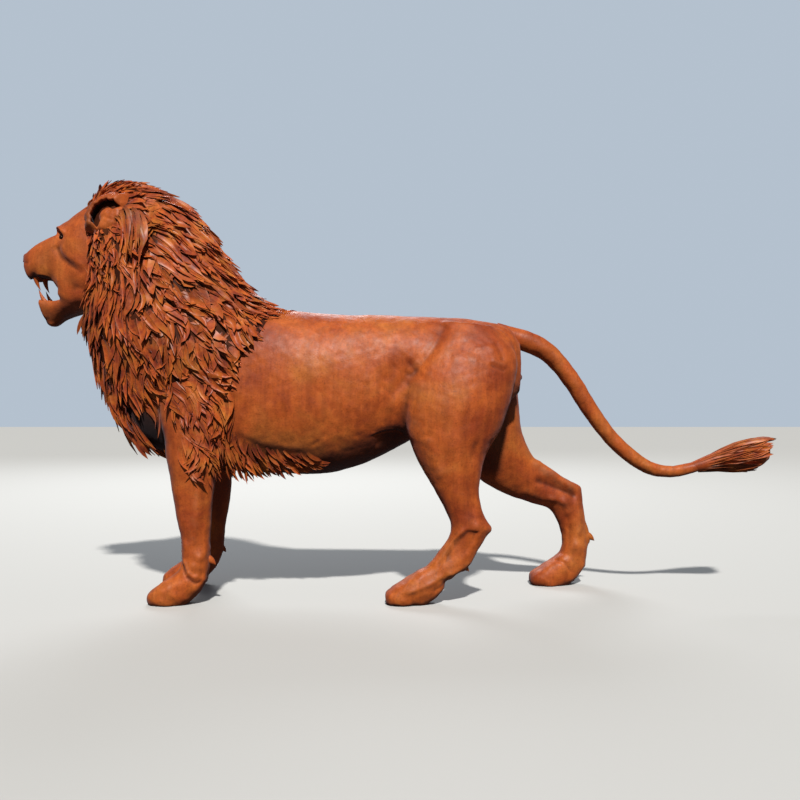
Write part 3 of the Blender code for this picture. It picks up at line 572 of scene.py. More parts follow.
# The muzzle's and the cheek's plates are planished smooth before the strokes go on, but not near the lips.
PLANISHING = 45
calm = smoothed(skin, quads, PLANISHING)
plates = step_up(np.abs(skin[:, 1]), 0.055, 0.085) * step_up(-skin[:, 0], 1.13, 1.17)
plates *= step_up(skin[:, 2], 1.20, 1.24)
plates *= 1 - step_up(skin[:, 2], 1.36, 1.40)
to_lip = np.minimum(*(to_line(skin, metres(lip))[0] for lip in (UPPER_LIP, LOWER_LIP)))
plates *= 1 - np.exp(-(to_lip / 0.016) ** 2)
skin += (calm - skin) * plates[:, None]
skin += normals * (move * on_head)[:, None]


# %% Hammer marks
def unevenness(points):
    """How far hammering and weld heat have drawn the plate in or out, in metres: broad waves about a hand
    wide and dents about a thumb wide, stronger low on the legs, where small pieces are welded together."""
    low = step_up(-points[:, 2], -0.32, -0.12)
    face = step_up(-points[:, 0], 1.12, 1.20) * step_up(points[:, 2], 1.0, 1.1)
    broad = waves(points, 0.30, 11) * 0.0026 * (1 - 0.7 * face)
    dents = waves(points, 0.085, 12) * (0.0009 + 0.0007 * low) * (1 - 0.4 * face)
    fine = waves(points, 0.032, 13) * (0.00025 + 0.0002 * low + 0.0003 * np.clip(weld, 0, 1))
    return broad + dents + fine


normals = normals_of(skin, quads)
skin += normals * unevenness(skin)[:, None]
skin = smoothed(skin, quads, 1, 0.35)
skin[:, 2] = np.maximum(skin[:, 2], 0.0)
normals = normals_of(skin, quads)


# %% Part the skin into pieces
RIM_DEPTH = 0.006


def piece_from(name, points, faces, normal, **marks):
    """Object from a part of a mesh's quads: keeps only their points, turns each open rim 6 mm inwards and
    closes it there with one polygon, gives the piece the whole mesh's normals so that no cut shows, and
    stores marks per point."""
    used, index = np.unique(faces, return_inverse=True)
    faces = index.reshape(-1, 4)
    body, lists = [points[used]], faces.tolist()
    source = [np.arange(len(used))]
    edges = np.vstack([faces[:, [i, (i + 1) % 4]] for i in range(4)])
    there = set(map(tuple, edges.tolist()))
    follow = {b: a for a, b in there if (b, a) not in there}
    rims = []
    while follow:
        start = next(iter(follow))
        rim, at = [start], follow.pop(start)
        while at != start and at in follow:
            rim.append(at)
            at = follow.pop(at)
        rims.append(rim)
    start = len(used)
    for rim in (r for r in rims if len(r) > 2):
        inner = [start + i for i in range(len(rim))]
        body.append(points[used][rim] - normal[used][rim] * RIM_DEPTH)
        source.append(np.array(rim))
        lists += [[a, b, inner[(i + 1) % len(rim)], inner[i]]
                  for i, (a, b) in enumerate(zip(rim, rim[1:] + rim[:1]))]
        lists.append(inner)
        start += len(rim)
    source = np.concatenate(source)
    made = new_mesh(name, np.vstack(body), lists)
    made.data.normals_split_custom_set_from_vertices(normal[used][source].tolist())
    store(made, {mark: values[used][source] for mark, values in marks.items()})
    return made


def relief(points, faces, steps):
    """How far each point stands over the smoothed skin, in metres: below zero in a hollow."""
    calm = smoothed(points, faces, steps, 0.6)
    return np.sum((points - calm) * normals_of(calm, faces), 1)


DEEP = 0.0085   # a hollow this deep would count whole, but curvature alone is cut at a third
# The hollow mark: darker where the skin is hollow, and below, painted shade is added where the lion lies in shade.
hollows_and_painted_shade = np.clip(-relief(skin, quads, 20) / DEEP, -1 / 3, 1 / 3)
CHEST = metres((-968, 660))   # middle of the painted shade on the chest, behind the mane's front fringe


def chest_shade_behind_fringe(points):
    """Painted shade on the chest hidden behind the fringe, by how far a point lies there: a bell curve round the
    middle of the gap, which slants down to the tail at 50 degrees."""
    x, z = points[:, 0] - CHEST[0], points[:, 2] - CHEST[1]
    away = ((0.64 * x - 0.77 * z) / 0.130) ** 2 + ((0.77 * x + 0.64 * z) / 0.060) ** 2
    return np.exp(-away ** 2) * step_up(-points[:, 0], 0.868, 0.892)


def palate_shade(points, out):
    """Painted shade on the palate: how far a point lies above the tongue's place, and faces down."""
    away = ((points[:, 0] + 1.405) / 0.070) ** 4 + ((points[:, 2] - 1.245) / 0.050) ** 4
    return np.exp(-away) * step_up(-out[:, 2], 0.40, 0.85)


# Painted shade, each from 0 to 1: the belly's underside where it faces down, and the cleft under the tail's root, in
# the shadow of the tail and the rump.
skin_x, skin_y, skin_z = skin.T
underside_shade = step_up(skin_x, -0.80, -0.60) * step_up(-skin_x, -0.12, 0.0) * step_up(-normals[:, 2], 0.20, 0.80)
cleft_shadow = step_up(skin_x, 0.440, 0.470) * (1 - step_up(np.abs(skin_y), 0.030, 0.080))
cleft_shadow *= step_up(-skin_z, -1.00, -0.96) * (1 - step_up(-skin_z, -0.72, -0.68))
# Painted shade under the fold where the belly plate tucks beneath the thigh, down to where the belly turns under.
shade_under_fold = np.interp(skin_x, (-0.105, -0.055, -0.010, 0.028), (0.638, 0.655, 0.657, 0.630)) - skin_z
shade_under_fold = step_up(shade_under_fold, 0.002, 0.014) * (1 - step_up(shade_under_fold, 0.06, 0.10))
shade_under_fold *= np.exp(-((skin_x + 0.030) / 0.070) ** 4) * (skin_y < 0)
# Painted shadow of the near thigh on the far thigh's inner face, up to its slanting rear edge, and painted shade on
# the lower jaw.
rear_edge = 0.34 + 0.12 * skin_z
thigh_shadow = step_up(skin_y, 0.0, 0.05) * step_up(-normals[:, 1], 0.3, 0.8) * step_up(skin_z, 0.44, 0.50)
thigh_shadow *= step_up(skin_x, 0.10, 0.20) * (1 - step_up(skin_x, rear_edge, 0.38 + 0.12 * skin_z))
jaw = np.exp(-(((skin_x + 1.360) / 0.085) ** 4 + ((skin_z - 1.115) / 0.050) ** 4))
# Each painted shade is laid into the hollow mark with its share, and the finish darkens it.
for share, painted_shade in ((0.50, underside_shade), (0.35, cleft_shadow), (0.50, shade_under_fold), (0.30, thigh_shadow), (0.20, jaw),
                     (0.85, chest_shade_behind_fringe(skin)), (0.75, palate_shade(skin, normals))):
    hollows_and_painted_shade = np.maximum(hollows_and_painted_shade, share * painted_shade)
middle = skin[quads].mean(1)
is_head = (middle[:, 0] < -1.14) & (middle[:, 2] > 1.0)
is_low = middle[:, 2] < 0.47
regions = {
    "head": is_head,
    "forelegs": is_low & (middle[:, 0] < -0.55),
    "shoulders": ~is_low & ~is_head & (middle[:, 0] < -0.55),
    "hindquarters": middle[:, 0] > -0.02,
}
regions["barrel"] = ~sum(regions.values()).astype(bool)
skin_pieces = [piece_from("skin_" + name, skin, quads[chosen], normals, weld=np.clip(weld, 0, 1), hollow=hollows_and_painted_shade)
               for name, chosen in regions.items()]
for piece in skin_pieces:
    print(piece.name, 2 * len(piece.data.polygons), "triangles")

# %% [markdown]
# ## The mane's ground
#
# Under the strips the maker built a collar of plate that carries them. It hardly shows, only between the strips
# and as a smooth bare patch low on the chest, and its finish is painted near black there as shade. It is one
# surface of two parameters: u runs back from the face's edge, and v runs round from the crest to the throat
# and up the other side.

# %% Mane ground
MANE_CREST = metres((
    (-1243, 1532), (-1150, 1630), (-1035, 1637), (-887, 1566), (-762, 1438), (-664, 1290), (-552, 1168),
    (-440, 1112),
))
MANE_THROAT = metres((
    (-1252, 1080), (-1220, 970), (-1184, 860), (-1150, 775), (-1117, 700), (-1078, 638), (-1040, 598), (-1000, 575),
))
MANE_HALF_WIDTH = metres((155, 205, 243, 262, 268, 264, 256, 243))
MANE_BOW = 0.19       # how far the rear edge bows back at its lower side
FACE_BOW = 0.052      # how far the front edge bows back beside the cheeks
GROUND_LIFT = -0.006  # the ground lies this far under the mane's mean surface
CHEST_GAP = metres((-958, 665))   # where the ground is set back, between the front fringe and the foreleg


def mane_point(u, v, lift):
    """Mane surface: an ellipse from the crest line (v = 0) down to the throat line (v = 1) and back (v = 2).
    Its half width is the sine of the turn to the power 0.85. Its rear edge bows back low on the side, its
    front edge bows back beside the cheeks, and it is set back in a hollow low on the chest."""
    lines = between(np.column_stack([MANE_CREST, MANE_THROAT, MANE_HALF_WIDTH]), 161)
    ax, az, bx, bz, half = (np.interp(u, np.linspace(0, 1, 161), column) for column in lines.T)
    turn = math.pi * v
    t = (1 - np.cos(turn)) / 2
    bow = MANE_BOW * u ** 2 * np.sin(math.pi * np.clip(t, 0, 1) ** 3)
    bow += FACE_BOW * (1 - u) ** 3 * np.sin(turn) ** 2
    out = half * np.abs(np.sin(turn)) ** 0.85 * np.sign(np.sin(turn))
    grow = 1 + lift / np.maximum(half, 0.1)
    x = (ax + bx) / 2 + (ax - bx) / 2 * np.cos(turn) * grow + bow
    z = (az + bz) / 2 + (az - bz) / 2 * np.cos(turn) * grow
    gap = np.exp(-((x - CHEST_GAP[0]) / 0.050) ** 2 - ((z - CHEST_GAP[1]) / 0.085) ** 2)
    return np.stack([x, out * grow * (1 - 0.5 * gap), z], -1)


# The valley between the locks behind the ear and the mane's main fall.
VALLEY = metres(((-967, 1500), (-955, 1430), (-958, 1350), (-982, 1282), (-990, 1197), (-975, 1110)))
VALLEY_DEPTH, VALLEY_WIDTH = 0.014, 0.024


def uneven_ground(points):
    """The ground swells and sinks by 5 % of its half width in waves two hands long, and has one valley."""
    near, _ = to_line(points, VALLEY)
    sink = VALLEY_DEPTH * np.exp(-(near / VALLEY_WIDTH) ** 2) * step_up(np.abs(points[:, 1]), 0.05, 0.15)
    y = points[:, 1] * (1 + 0.05 * waves(points, 0.24, 22, 2)) - np.sign(points[:, 1]) * sink
    return np.stack([points[:, 0], y, points[:, 2]], 1)


AROUND, ALONG = 144, 64
u_grid, v_grid = np.meshgrid(np.linspace(0, 1, ALONG), np.linspace(0, 2, AROUND, endpoint=False), indexing="ij")
ground_points, ground_faces = tube(mane_point(u_grid, v_grid, GROUND_LIFT))
ground_points = uneven_ground(ground_points)
ground = new_mesh("mane_ground", ground_points, ground_faces)
ground.data.flip_normals()
# Painted shade on the bare patch low on the chest, behind the fringe.
store(ground, {"hollow": 0.85 * chest_shade_behind_fringe(ground_points)})

# %% [markdown]
# ## Strips
#
# Nearly three thousand pointed strips make the mane. A particle system could comb them, but the object has to
# be real meshes. So each strip is a small closed shell that starts at a root on the ground and
# is marched over it, along a field of directions: back over the crown, down over the cheeks and the chest,
# and back and down over the shoulder. The roots are spread at random but never close together. A tip stands
# further off the ground than a root, so the strips lie like shingles and shade each other.


# %% The way the strips run
# A place and the direction of the strips there, where 0 points to the tail and 90 straight down.
FLOW = np.array((
    (-1180, 1611, -45), (-1100, 1651, -5), (-1000, 1631, 12), (-880, 1551, 35), (-800, 1471, 42), (-720, 1391, 48),
    (-640, 1271, 45), (-552, 1163, 28), (-460, 1127, 8), (-400, 1110, 6), (-1141, 1506, -40), (-1020, 1525, 2),
    (-1115, 1412, 42), (-1058, 1431, 40), (-994, 1393, 75), (-1100, 1350, 74), (-1150, 1400, 75),
    (-1152, 1336, 60), (-1160, 1185, 98), (-1179, 1072, 105), (-1096, 1261, 84), (-1077, 1147, 90),
    (-1115, 958, 95), (-1088, 769, 84), (-1020, 656, 62), (-963, 581, 52), (-945, 1336, 52), (-888, 1393, 40),
    (-869, 1185, 50), (-793, 1298, 45), (-756, 1147, 54), (-680, 1034, 56), (-623, 1147, 45), (-567, 1034, 50),
    (-1001, 1034, 80), (-982, 921, 72), (-945, 769, 70), (-888, 656, 76), (-869, 996, 66), (-793, 921, 72),
    (-737, 864, 62), (-699, 958, 56), (-661, 769, 62), (-737, 732, 72), (-793, 618, 82), (-718, 580, 88),
    (-673, 656, 98), (-612, 656, 115),
)) / (1000, 1000, 1)


LOCK_BEND, LOCK_SIZE = np.radians(19), 0.17   # how far slow noise turns the strips, and over what distance


def flow(points, wobble, seed):
    """Direction of the strips at each point, in the side plane: the anchors' directions, weighted by the
    inverse fourth power of their distance, turned by slow noise so that neighbours bend together in locks."""
    away = (points[:, None, 0] - FLOW[:, 0]) ** 2 + (points[:, None, 2] - FLOW[:, 1]) ** 2
    weight = 1 / (away + 0.0016) ** 2
    angle = np.radians(FLOW[:, 2])
    dx, dz = weight @ np.cos(angle), -(weight @ np.sin(angle))
    turn = np.arctan2(dz, dx) + LOCK_BEND * waves(points, LOCK_SIZE, seed, 2) + wobble
    sway = 0.25 * waves(points, 0.20, seed + 1, 1)
    return np.stack([np.cos(turn), sway, np.sin(turn)], 1)


def unit(vectors):
    """Vectors of length 1."""
    return vectors / np.maximum(np.linalg.norm(vectors, axis=-1, keepdims=True), 1e-9)


def spread(points, gaps, draw, most):
    """Picks points in random order, each at least its own gap from all those picked before."""
    order = draw.permutation(len(points))
    kept = np.empty((most, 3))
    picked = []
    for i in order:
        n = len(picked)
        if n == most:
            break
        if n == 0 or np.min(np.sum((kept[:n] - points[i]) ** 2, 1)) > gaps[i] ** 2:
            kept[n] = points[i]
            picked.append(i)
    return np.array(picked)


def onto(tree, points):
    """The nearest point of the ground to each point, and the ground's normal there."""
    found = [tree.find_nearest(Vector(p)) for p in points.tolist()]
    return np.array([f[0] for f in found]), np.array([f[1] for f in found])


STEPS = 7                 # rings of points along a strip
STRIP_THICKNESS = 0.002
SECTION_ACROSS = np.array([-1, -0.5, 0.5, 1, 0.5, -0.5])   # its section's corners, over its half width


def march(tree, roots, length, stray, curl, seed):
    """Centre lines of strips: from each root, STEPS equal steps along the field, each put back onto the
    ground. A strip strays from the field by its own angle, and curl turns it one way in its first half and
    the other way in its second. Where the ground ends, putting a step back would bring the strip to a stop,
    so from there on it runs free. Returns the lines and the ground's normals, both (strips, STEPS, 3)."""
    at, out = onto(tree, roots)
    lines, outs = [at], [out]
    pace = (length / (STEPS - 1))[:, None]
    free = np.zeros((len(roots), 1), bool)
    for k in range(1, STEPS):
        heading = flow(at, stray + curl * math.cos(math.pi * (k - 0.5) / (STEPS - 1)), seed)
        ahead = at + unit(heading - out * np.sum(heading * out, 1)[:, None]) * pace
        near, turn = onto(tree, ahead)
        free |= np.linalg.norm(near - at, axis=1, keepdims=True) < 0.6 * pace
        at, out = np.where(free, ahead, near), np.where(free, out, turn)
        lines.append(at)
        outs.append(out)
    outs = np.array(outs).transpose(1, 0, 2)
    outs[:, 1:-1] = (outs[:, :-2] + 2 * outs[:, 1:-1] + outs[:, 2:]) / 4
    return np.array(lines).transpose(1, 0, 2), unit(outs)


def astray(lines, outline, holes):
    """Which strips end outside the outline, or pass over one of the holes."""
    out = ~in_outline(lines[:, -1], outline)
    for hole in holes:
        out |= in_outline(lines, hole).any(1)
    return out


def march_inside(tree, roots, length, stray, curl, seed, outline, holes):
    """Marches strips, and shortens those that go astray. Also says which ones fit at last."""
    lines, outs = march(tree, roots, length, stray, curl, seed)
    share = np.ones(len(roots))
    for shorter in (0.70, 0.45, 0.30):
        out = astray(lines, outline, holes)
        if not out.any():
            break
        lines[out], outs[out] = march(tree, roots[out], shorter * length[out], stray[out], curl[out], seed)
        share[out] = shorter
    return lines, outs, share, ~astray(lines, outline, holes)


def strips(lines, outs, width, low, high, draw, bell=0.8, curl=1.9, roll=0.35, look=0):
    """Closed pointed strips on centre lines. Height over the ground grows from low at the root to high at
    the tip, as the place along the strip to the power curl. Half width swells to the middle and ends in a
    point. Across, the strip is bent to a shallow trough or roof, and it rolls a little about its line on its
    way. Where the ground faces up or down, strips are turned about their lines to face the side given by look.
    Returns points, faces, the place along the strip, and 1 at its two edges."""
    count, rings = lines.shape[:2]
    s = np.linspace(0, 1, rings)[None, :, None]
    rise = low[:, None, None] + (high - low)[:, None, None] * s ** curl
    path = lines + outs * rise
    ahead = unit(np.gradient(path, axis=1))
    side = unit(np.cross(ahead, outs))
    up = np.cross(side, ahead)
    angle = draw.normal(0, roll, count)[:, None, None] * (s - 0.2)
    angle = angle - look * 0.6 * np.clip(1 - np.abs(outs[..., 1:2]) / 0.55, 0, 1) * np.sign(side[..., 1:2])
    side, up = side * np.cos(angle) + up * np.sin(angle), up * np.cos(angle) - side * np.sin(angle)
    swell = 0.55 + 0.45 * np.sin(np.clip(s / 0.45, 0, 1) * math.pi / 2)
    taper = np.clip(1 - np.clip((s - 0.4) / 0.6, 0, 1) ** 2, 0.0025, 1) ** bell
    half = width[:, None, None] / 2 * (swell * taper)
    camber = draw.uniform(-0.48, 0.12, count)[:, None, None] * half
    across = half * SECTION_ACROSS
    top = np.where(np.abs(SECTION_ACROSS) < 1, np.maximum(camber, 0), np.maximum(-camber, 0))
    under = np.array([0, 0, 0, 0, 1, 1]) * STRIP_THICKNESS
    rings_points = (path[:, :, None] + side[:, :, None] * across[..., None]
                    + up[:, :, None] * (top - under)[..., None])
    sides = len(SECTION_ACROSS)
    points = rings_points.reshape(-1, 3)
    start = np.arange(count)[:, None, None] * rings * sides
    ring, corner = np.meshgrid(np.arange(rings - 1), np.arange(sides), indexing="ij")
    a, b = ring * sides + corner, ring * sides + (corner + 1) % sides
    grid = np.stack([a, b, b + sides, a + sides], -1).reshape(1, -1, 4) + start
    first = np.arange(sides)[::-1] + start[:, 0]
    last = np.arange(sides) + (rings - 1) * sides + start[:, 0]
    faces = grid.reshape(-1, 4).tolist() + first.tolist() + last.tolist()
    along = np.broadcast_to(s, (count, rings, sides)).reshape(-1)
    edge = np.broadcast_to(np.abs(SECTION_ACROSS) == 1, (count, rings, sides)).reshape(-1)
    return points, faces, along, edge


def locks(tree, roots, length, width, lift, draw, seed, outline, holes, fingers=5, stray=0.22, curl=0.32,
          look=0):
    """Bundles of strips: each root carries some fingers side by side, which stray and curl together and close
    up towards their common tip. The middle finger is the longest and stands the highest."""
    at, out = onto(tree, roots)
    heading = unit(flow(at, 0, seed))
    across = unit(np.cross(heading, out))
    place = np.arange(fingers) - (fingers - 1) / 2
    size = draw.uniform(0.75, 1.3, len(roots))
    wide = np.repeat(width * size, fingers)
    offset = np.tile(place, len(roots)) * wide * 0.80
    starts = np.repeat(at, fingers, 0) + np.repeat(across, fingers, 0) * offset[:, None]
    starts += np.repeat(heading, fingers, 0) * draw.uniform(-0.02, 0.02, len(starts))[:, None]
    from_middle = np.abs(np.tile(place, len(roots)))
    reach = np.repeat(length * size, fingers) * (1 - 0.10 * from_middle) * draw.uniform(0.82, 1.12, len(starts))
    close = 0.75 * offset / reach
    shared = np.repeat(draw.normal(0, stray, len(roots)), fingers) + close + draw.normal(0, 0.06, len(starts))
    bend = np.repeat(draw.normal(0, curl, len(roots)), fingers) + draw.normal(0, 0.10, len(starts))
    lines, outs, share, fits = march_inside(tree, starts, reach, shared, bend, seed, outline, holes)
    high = np.repeat(lift * draw.uniform(0.6, 1.3, len(roots)), fingers) * (1 - 0.16 * from_middle)
    high = (high + draw.uniform(-0.002, 0.003, len(starts))) * share
    wide = wide * draw.uniform(0.8, 1.15, len(starts)) * np.sqrt(share)
    return strips(lines[fits], outs[fits], wide[fits], np.full(fits.sum(), -0.001), high[fits], draw, look=look)


def free_strips(rows, draw, lift, out):
    """Strips given as root, tip and width: a straight line each, which bows by lift towards out, and faces
    that way."""
    roots, tips, widths = (np.array([row[i] for row in rows]) for i in range(3))
    s = np.linspace(0, 1, STEPS)[None, :, None]
    lines = roots[:, None] + (tips - roots)[:, None] * s
    outs = np.broadcast_to(unit(np.array([out]))[:, None], lines.shape)
    flat = np.zeros(len(rows))
    return strips(lines + outs * 4 * lift * s * (1 - s), outs, widths, flat, flat, draw, roll=0.5)


def strip_object(name, batches, draw, darkest=0.15, lightest=1.0):
    """One object from batches of strips, with three marks per point: the place along the strip, 1 at its
    edges, and a tone between darkest and lightest that is the same over a whole strip. Half of the tone is
    chance and half is slow noise, so neighbours are alike."""
    points, faces = joined([batch[:2] for batch in batches])
    made = new_mesh(name, points, faces)
    along, edge = (np.concatenate([batch[i] for batch in batches]) for i in (2, 3))
    corners_each = STEPS * len(SECTION_ACROSS)
    roots = points[::corners_each]
    tone = np.clip(0.5 + 0.45 * waves(roots, 0.13, 81, 2) + draw.uniform(-0.35, 0.35, len(roots)), 0, 1)
    tone = np.repeat(darkest + (lightest - darkest) * tone, corners_each)
    store(made, {"along": along, "edge": edge, "tone": tone})
    made.data.set_sharp_from_angle(angle=math.radians(50))
    print(name, len(points) // corners_each, "strips")
    return made


# %% [markdown]
# ### The mane
#
# The roots are picked on the mane's ground. Strips are short round the ears, about a hand long on the neck
# and longest on the chest. Low on the chest, beside the forelegs, the maker left the plate bare.

# %% Mane strips
# What carries the strips: the mane's ground without its end caps, and the front part of the skin.
FRONT_X = -0.25
front_used, front_index = np.unique(quads[middle[:, 0] < FRONT_X], return_inverse=True)
carrier_points = np.vstack([ground_points, skin[front_used]])
carrier_faces = [f[::-1] for f in ground_faces[:-2]] + (front_index.reshape(-1, 4) + len(ground_points)).tolist()
carrier = BVHTree.FromPolygons(carrier_points.tolist(), carrier_faces)

# Closed outlines in side view: where the ear opens, the crevice low on the chest, where no strip is rooted
# there, the region that the strips may reach, and how much further back the bundles may.
EAR_OUTLINE = metres((
    (-1183, 1424), (-1179, 1506), (-1152, 1548), (-1122, 1566), (-1084, 1562), (-1070, 1534), (-1070, 1500),
    (-1082, 1476), (-1100, 1452), (-1130, 1440),
))
CREVICE = metres((
    (-1031, 735), (-1014, 738), (-978, 670), (-940, 638), (-918, 600), (-905, 578), (-943, 600), (-1012, 665),
))
BARE = metres(((-1030, 755), (-1002, 750), (-964, 684), (-905, 650), (-885, 560), (-935, 580), (-1005, 655)))
MANE_OUTLINE = metres((
    (-385, 1130), (-480, 1085), (-536, 1050), (-536, 996), (-580, 949), (-614, 852), (-644, 777), (-666, 724),
    (-650, 660), (-690, 530), (-840, 480), (-880, 570), (-1010, 580), (-1040, 520), (-1300, 480), (-1300, 1000),
    (-1245, 1060), (-1232, 1150), (-1205, 1230), (-1195, 1300), (-1200, 1440), (-1290, 1540), (-1290, 1800),
    (-360, 1800),
))
BUNDLE_REACH = 0.025
LOCKS_OUTLINE = tuple((x + BUNDLE_REACH * (x > -0.70), z) for x, z in MANE_OUTLINE)
HOLES = (EAR_OUTLINE, CREVICE)

SEEDS = 60000   # places on the ground to pick roots from
draw = np.random.default_rng(7)
u_seed, v_seed = draw.uniform(0, 1, SEEDS) ** 0.95, draw.uniform(0, 2, SEEDS)
seeds = mane_point(u_seed, v_seed, GROUND_LIFT)
bare = in_outline(seeds, BARE) & (np.abs(seeds[:, 1]) > 0.055)
bare |= in_outline(seeds, EAR_OUTLINE) & (np.abs(seeds[:, 1]) > 0.08)
near_face = step_up(-seeds[:, 0], 0.98, 1.12) * step_up(seeds[:, 2], 1.05, 1.30)
low_down = step_up(-seeds[:, 2], -1.20, -0.80)
run_out = step_up(seeds[:, 0], -0.66, -0.48)
front_fall = step_up(-seeds[:, 0], 0.93, 1.02) * step_up(-seeds[:, 2], -1.44, -1.36)
bib = step_up(-seeds[:, 2], -0.86, -0.76) * step_up(-seeds[:, 0], 0.93, 0.98)
bib *= step_up(-np.abs(seeds[:, 1]), -0.15, -0.10)
by_ear = np.exp(-((seeds[:, 0] + 1.09) ** 2 + (seeds[:, 2] - 1.46) ** 2) / 0.13 ** 2)
allowed = np.flatnonzero(~bare)


def pick(gap, most):
    """Roots for one layer of the mane, closer together by the face, round the ear and where the mane runs
    out, and further apart on the bib under the throat."""
    gaps = gap * (1 - 0.30 * near_face - 0.25 * run_out - 0.22 * by_ear + 0.3 * bib)
    return allowed[spread(seeds[allowed], gaps[allowed], draw, most)]


# Layers of single leaves: gap between roots, length, width, and the tips' least and greatest height. The
# second layer is the bold leaves that stand clear of the rest. Then how many leaves each may have.
LAYERS = metres(((27, 98, 28, 4, 20), (56, 122, 32, 14, 36)))
MOST_LEAVES, MOST_BUNDLES = (3200, 700), 330
BUNDLE_GAP, BUNDLE_LENGTH, BUNDLE_WIDTH, BUNDLE_LIFT = 0.078, 0.165, 0.0225, 0.032
FIELD = 21   # seed of the strips' directions
layers = {LEFT: [], RIGHT: []}
for (gap, long, wide, least, greatest), most in zip(LAYERS, MOST_LEAVES):
    chosen = pick(gap, most)
    scale = 1 - 0.30 * near_face[chosen] - 0.25 * run_out[chosen] + 0.35 * bib[chosen]
    slender = front_fall[chosen]
    length = long * scale * (1 + 0.20 * low_down[chosen] + 0.30 * slender) * draw.uniform(0.7, 1.35, len(chosen))
    width = wide * scale * draw.uniform(0.65, 1.3, len(chosen)) * (1 - 0.32 * slender)
    stray = draw.normal(0, 0.32, len(chosen)) * (1 - 0.45 * slender)
    curl = draw.normal(0, 0.45, len(chosen))
    lines, outs, share, fits = march_inside(carrier, seeds[chosen], length, stray, curl, FIELD, MANE_OUTLINE,
                                            HOLES)
    lift = draw.uniform(least, greatest, len(chosen)) * (0.5 + 0.5 * scale) + 0.006 * low_down[chosen]
    lift *= (1 - 0.75 * run_out[chosen]) * (1 - 0.5 * step_up(seeds[chosen, 2], 1.54, 1.62))
    width, lift = width * np.sqrt(share), lift * share
    for side in layers:
        half = fits & (seeds[chosen, 1] * side > 0)
        flush = np.full(half.sum(), -0.003)
        layers[side].append(strips(lines[half], outs[half], width[half], flush, lift[half], draw, bell=0.7, roll=0.45,
                                   look=side))
chosen = pick(BUNDLE_GAP, MOST_BUNDLES)
for side in layers:
    half = chosen[seeds[chosen, 1] * side > 0]
    scale = 1 - 0.5 * near_face[half] - 0.35 * run_out[half]
    length = BUNDLE_LENGTH * scale * (1 + 0.15 * low_down[half])
    lift = BUNDLE_LIFT * scale * (1 - 0.7 * run_out[half])
    layers[side].append(locks(carrier, seeds[half], length, BUNDLE_WIDTH * scale, lift, draw, FIELD, LOCKS_OUTLINE,
                              HOLES, look=side))
# The bib's drooping strips, given one by one because they make the outline of the chest: root, tip and width.
BIB = metres((
    ((-1134, 840), (-1104, 705), 30), ((-1122, 792), (-1080, 655), 32), ((-1103, 765), (-1050, 622), 30),
    ((-1087, 728), (-1030, 592), 34), ((-1068, 695), (-1006, 566), 30), ((-1050, 662), (-984, 538), 26),
    ((-1029, 632), (-968, 552), 24), ((-1078, 745), (-1036, 640), 28), ((-1105, 815), (-1066, 690), 30),
    ((-1150, 905), (-1122, 772), 28), ((-1165, 960), (-1146, 835), 26),
))


def bib_strips(side, draw):
    """The listed strips, their roots put onto the mane's ground and their tips a little off it."""
    roots, _ = onto(carrier, np.array([(x, 0.11 * side, z) for (x, z), _, _ in BIB]))
    tips, _ = onto(carrier, np.array([(x, 0.09 * side, z) for _, (x, z), _ in BIB]))
    tips[:, [0, 2]] = [tip for _, tip, _ in BIB]
    tips[:, 1] += 0.012 * side
    rows = list(zip(roots, tips, [row[2] for row in BIB]))
    return free_strips(rows, draw, 0.016, (-0.35, 1.0 * side, -0.15))


def ear_lock(side, draw, count):
    """The long narrow strips that start behind the ear, swing back and hang side by side: a quadratic curve
    each, in side view, laid onto the ground."""
    s = np.linspace(0, 1, STEPS)[None, :, None]
    share = np.linspace(0, 1, count)
    root = np.stack([-1.076 + 0.080 * share, 1.466 + 0.020 * np.sin(math.pi * share)], 1)[:, None]
    root = root + draw.normal(0, 0.009, (count, 1, 2))
    bend = root + np.array([0.052, -0.030]) + draw.normal(0, 0.010, (count, 1, 2))
    tip = root + np.array([0.030, -0.190]) + draw.normal(0, 1, (count, 1, 2)) * (0.014, 0.040)
    path = (1 - s) ** 2 * root + 2 * s * (1 - s) * bend + s ** 2 * tip
    aside = np.full(path.shape[:2] + (1,), 0.30 * side)
    lines, outs = onto(carrier, np.concatenate([path[..., :1], aside, path[..., 1:]], 2).reshape(-1, 3))
    lines = np.concatenate([path[..., :1], lines[:, 1].reshape(aside.shape), path[..., 1:]], 2)
    low, high = draw.uniform(-0.003, 0.006, count), draw.uniform(0.018, 0.036, count)
    return strips(lines, outs.reshape(lines.shape), draw.uniform(0.013, 0.021, count), low, high, draw, curl=0.8,
                  roll=0.7)


EAR_STRIPS = 10
for side in layers:
    layers[side] += [bib_strips(side, draw), ear_lock(side, draw, EAR_STRIPS)]
mane = {side: strip_object("mane_strips_" + word, layers[side], draw) for side, word in SIDES.items()}

# %% [markdown]
# ### Elbow tufts, belly fringe and withers
#
# The same strips go on three more places, but here they are welded straight onto the skin: over the shoulder
# and behind the elbow, in a fringe under the belly, and in a wedge where the mane runs out on the back. Each
# place is an outline in side view, and a cloud of points on the skin inside it gives the roots.


# %% Patches of strips on the skin
def skin_roots(outline, side, gap, draw, turn_limit=0.1):
    """Points on the skin inside an outline of (x, z), on one side of the lion, each a gap from the others."""
    points, out = skin[front_used], normals[front_used]
    inside = in_outline(points, outline) & (points[:, 1] * side > -0.01) & (out[:, 1] * side > turn_limit)
    roots = points[inside]
    return roots[spread(roots, np.full(len(roots), gap), draw, 500)]


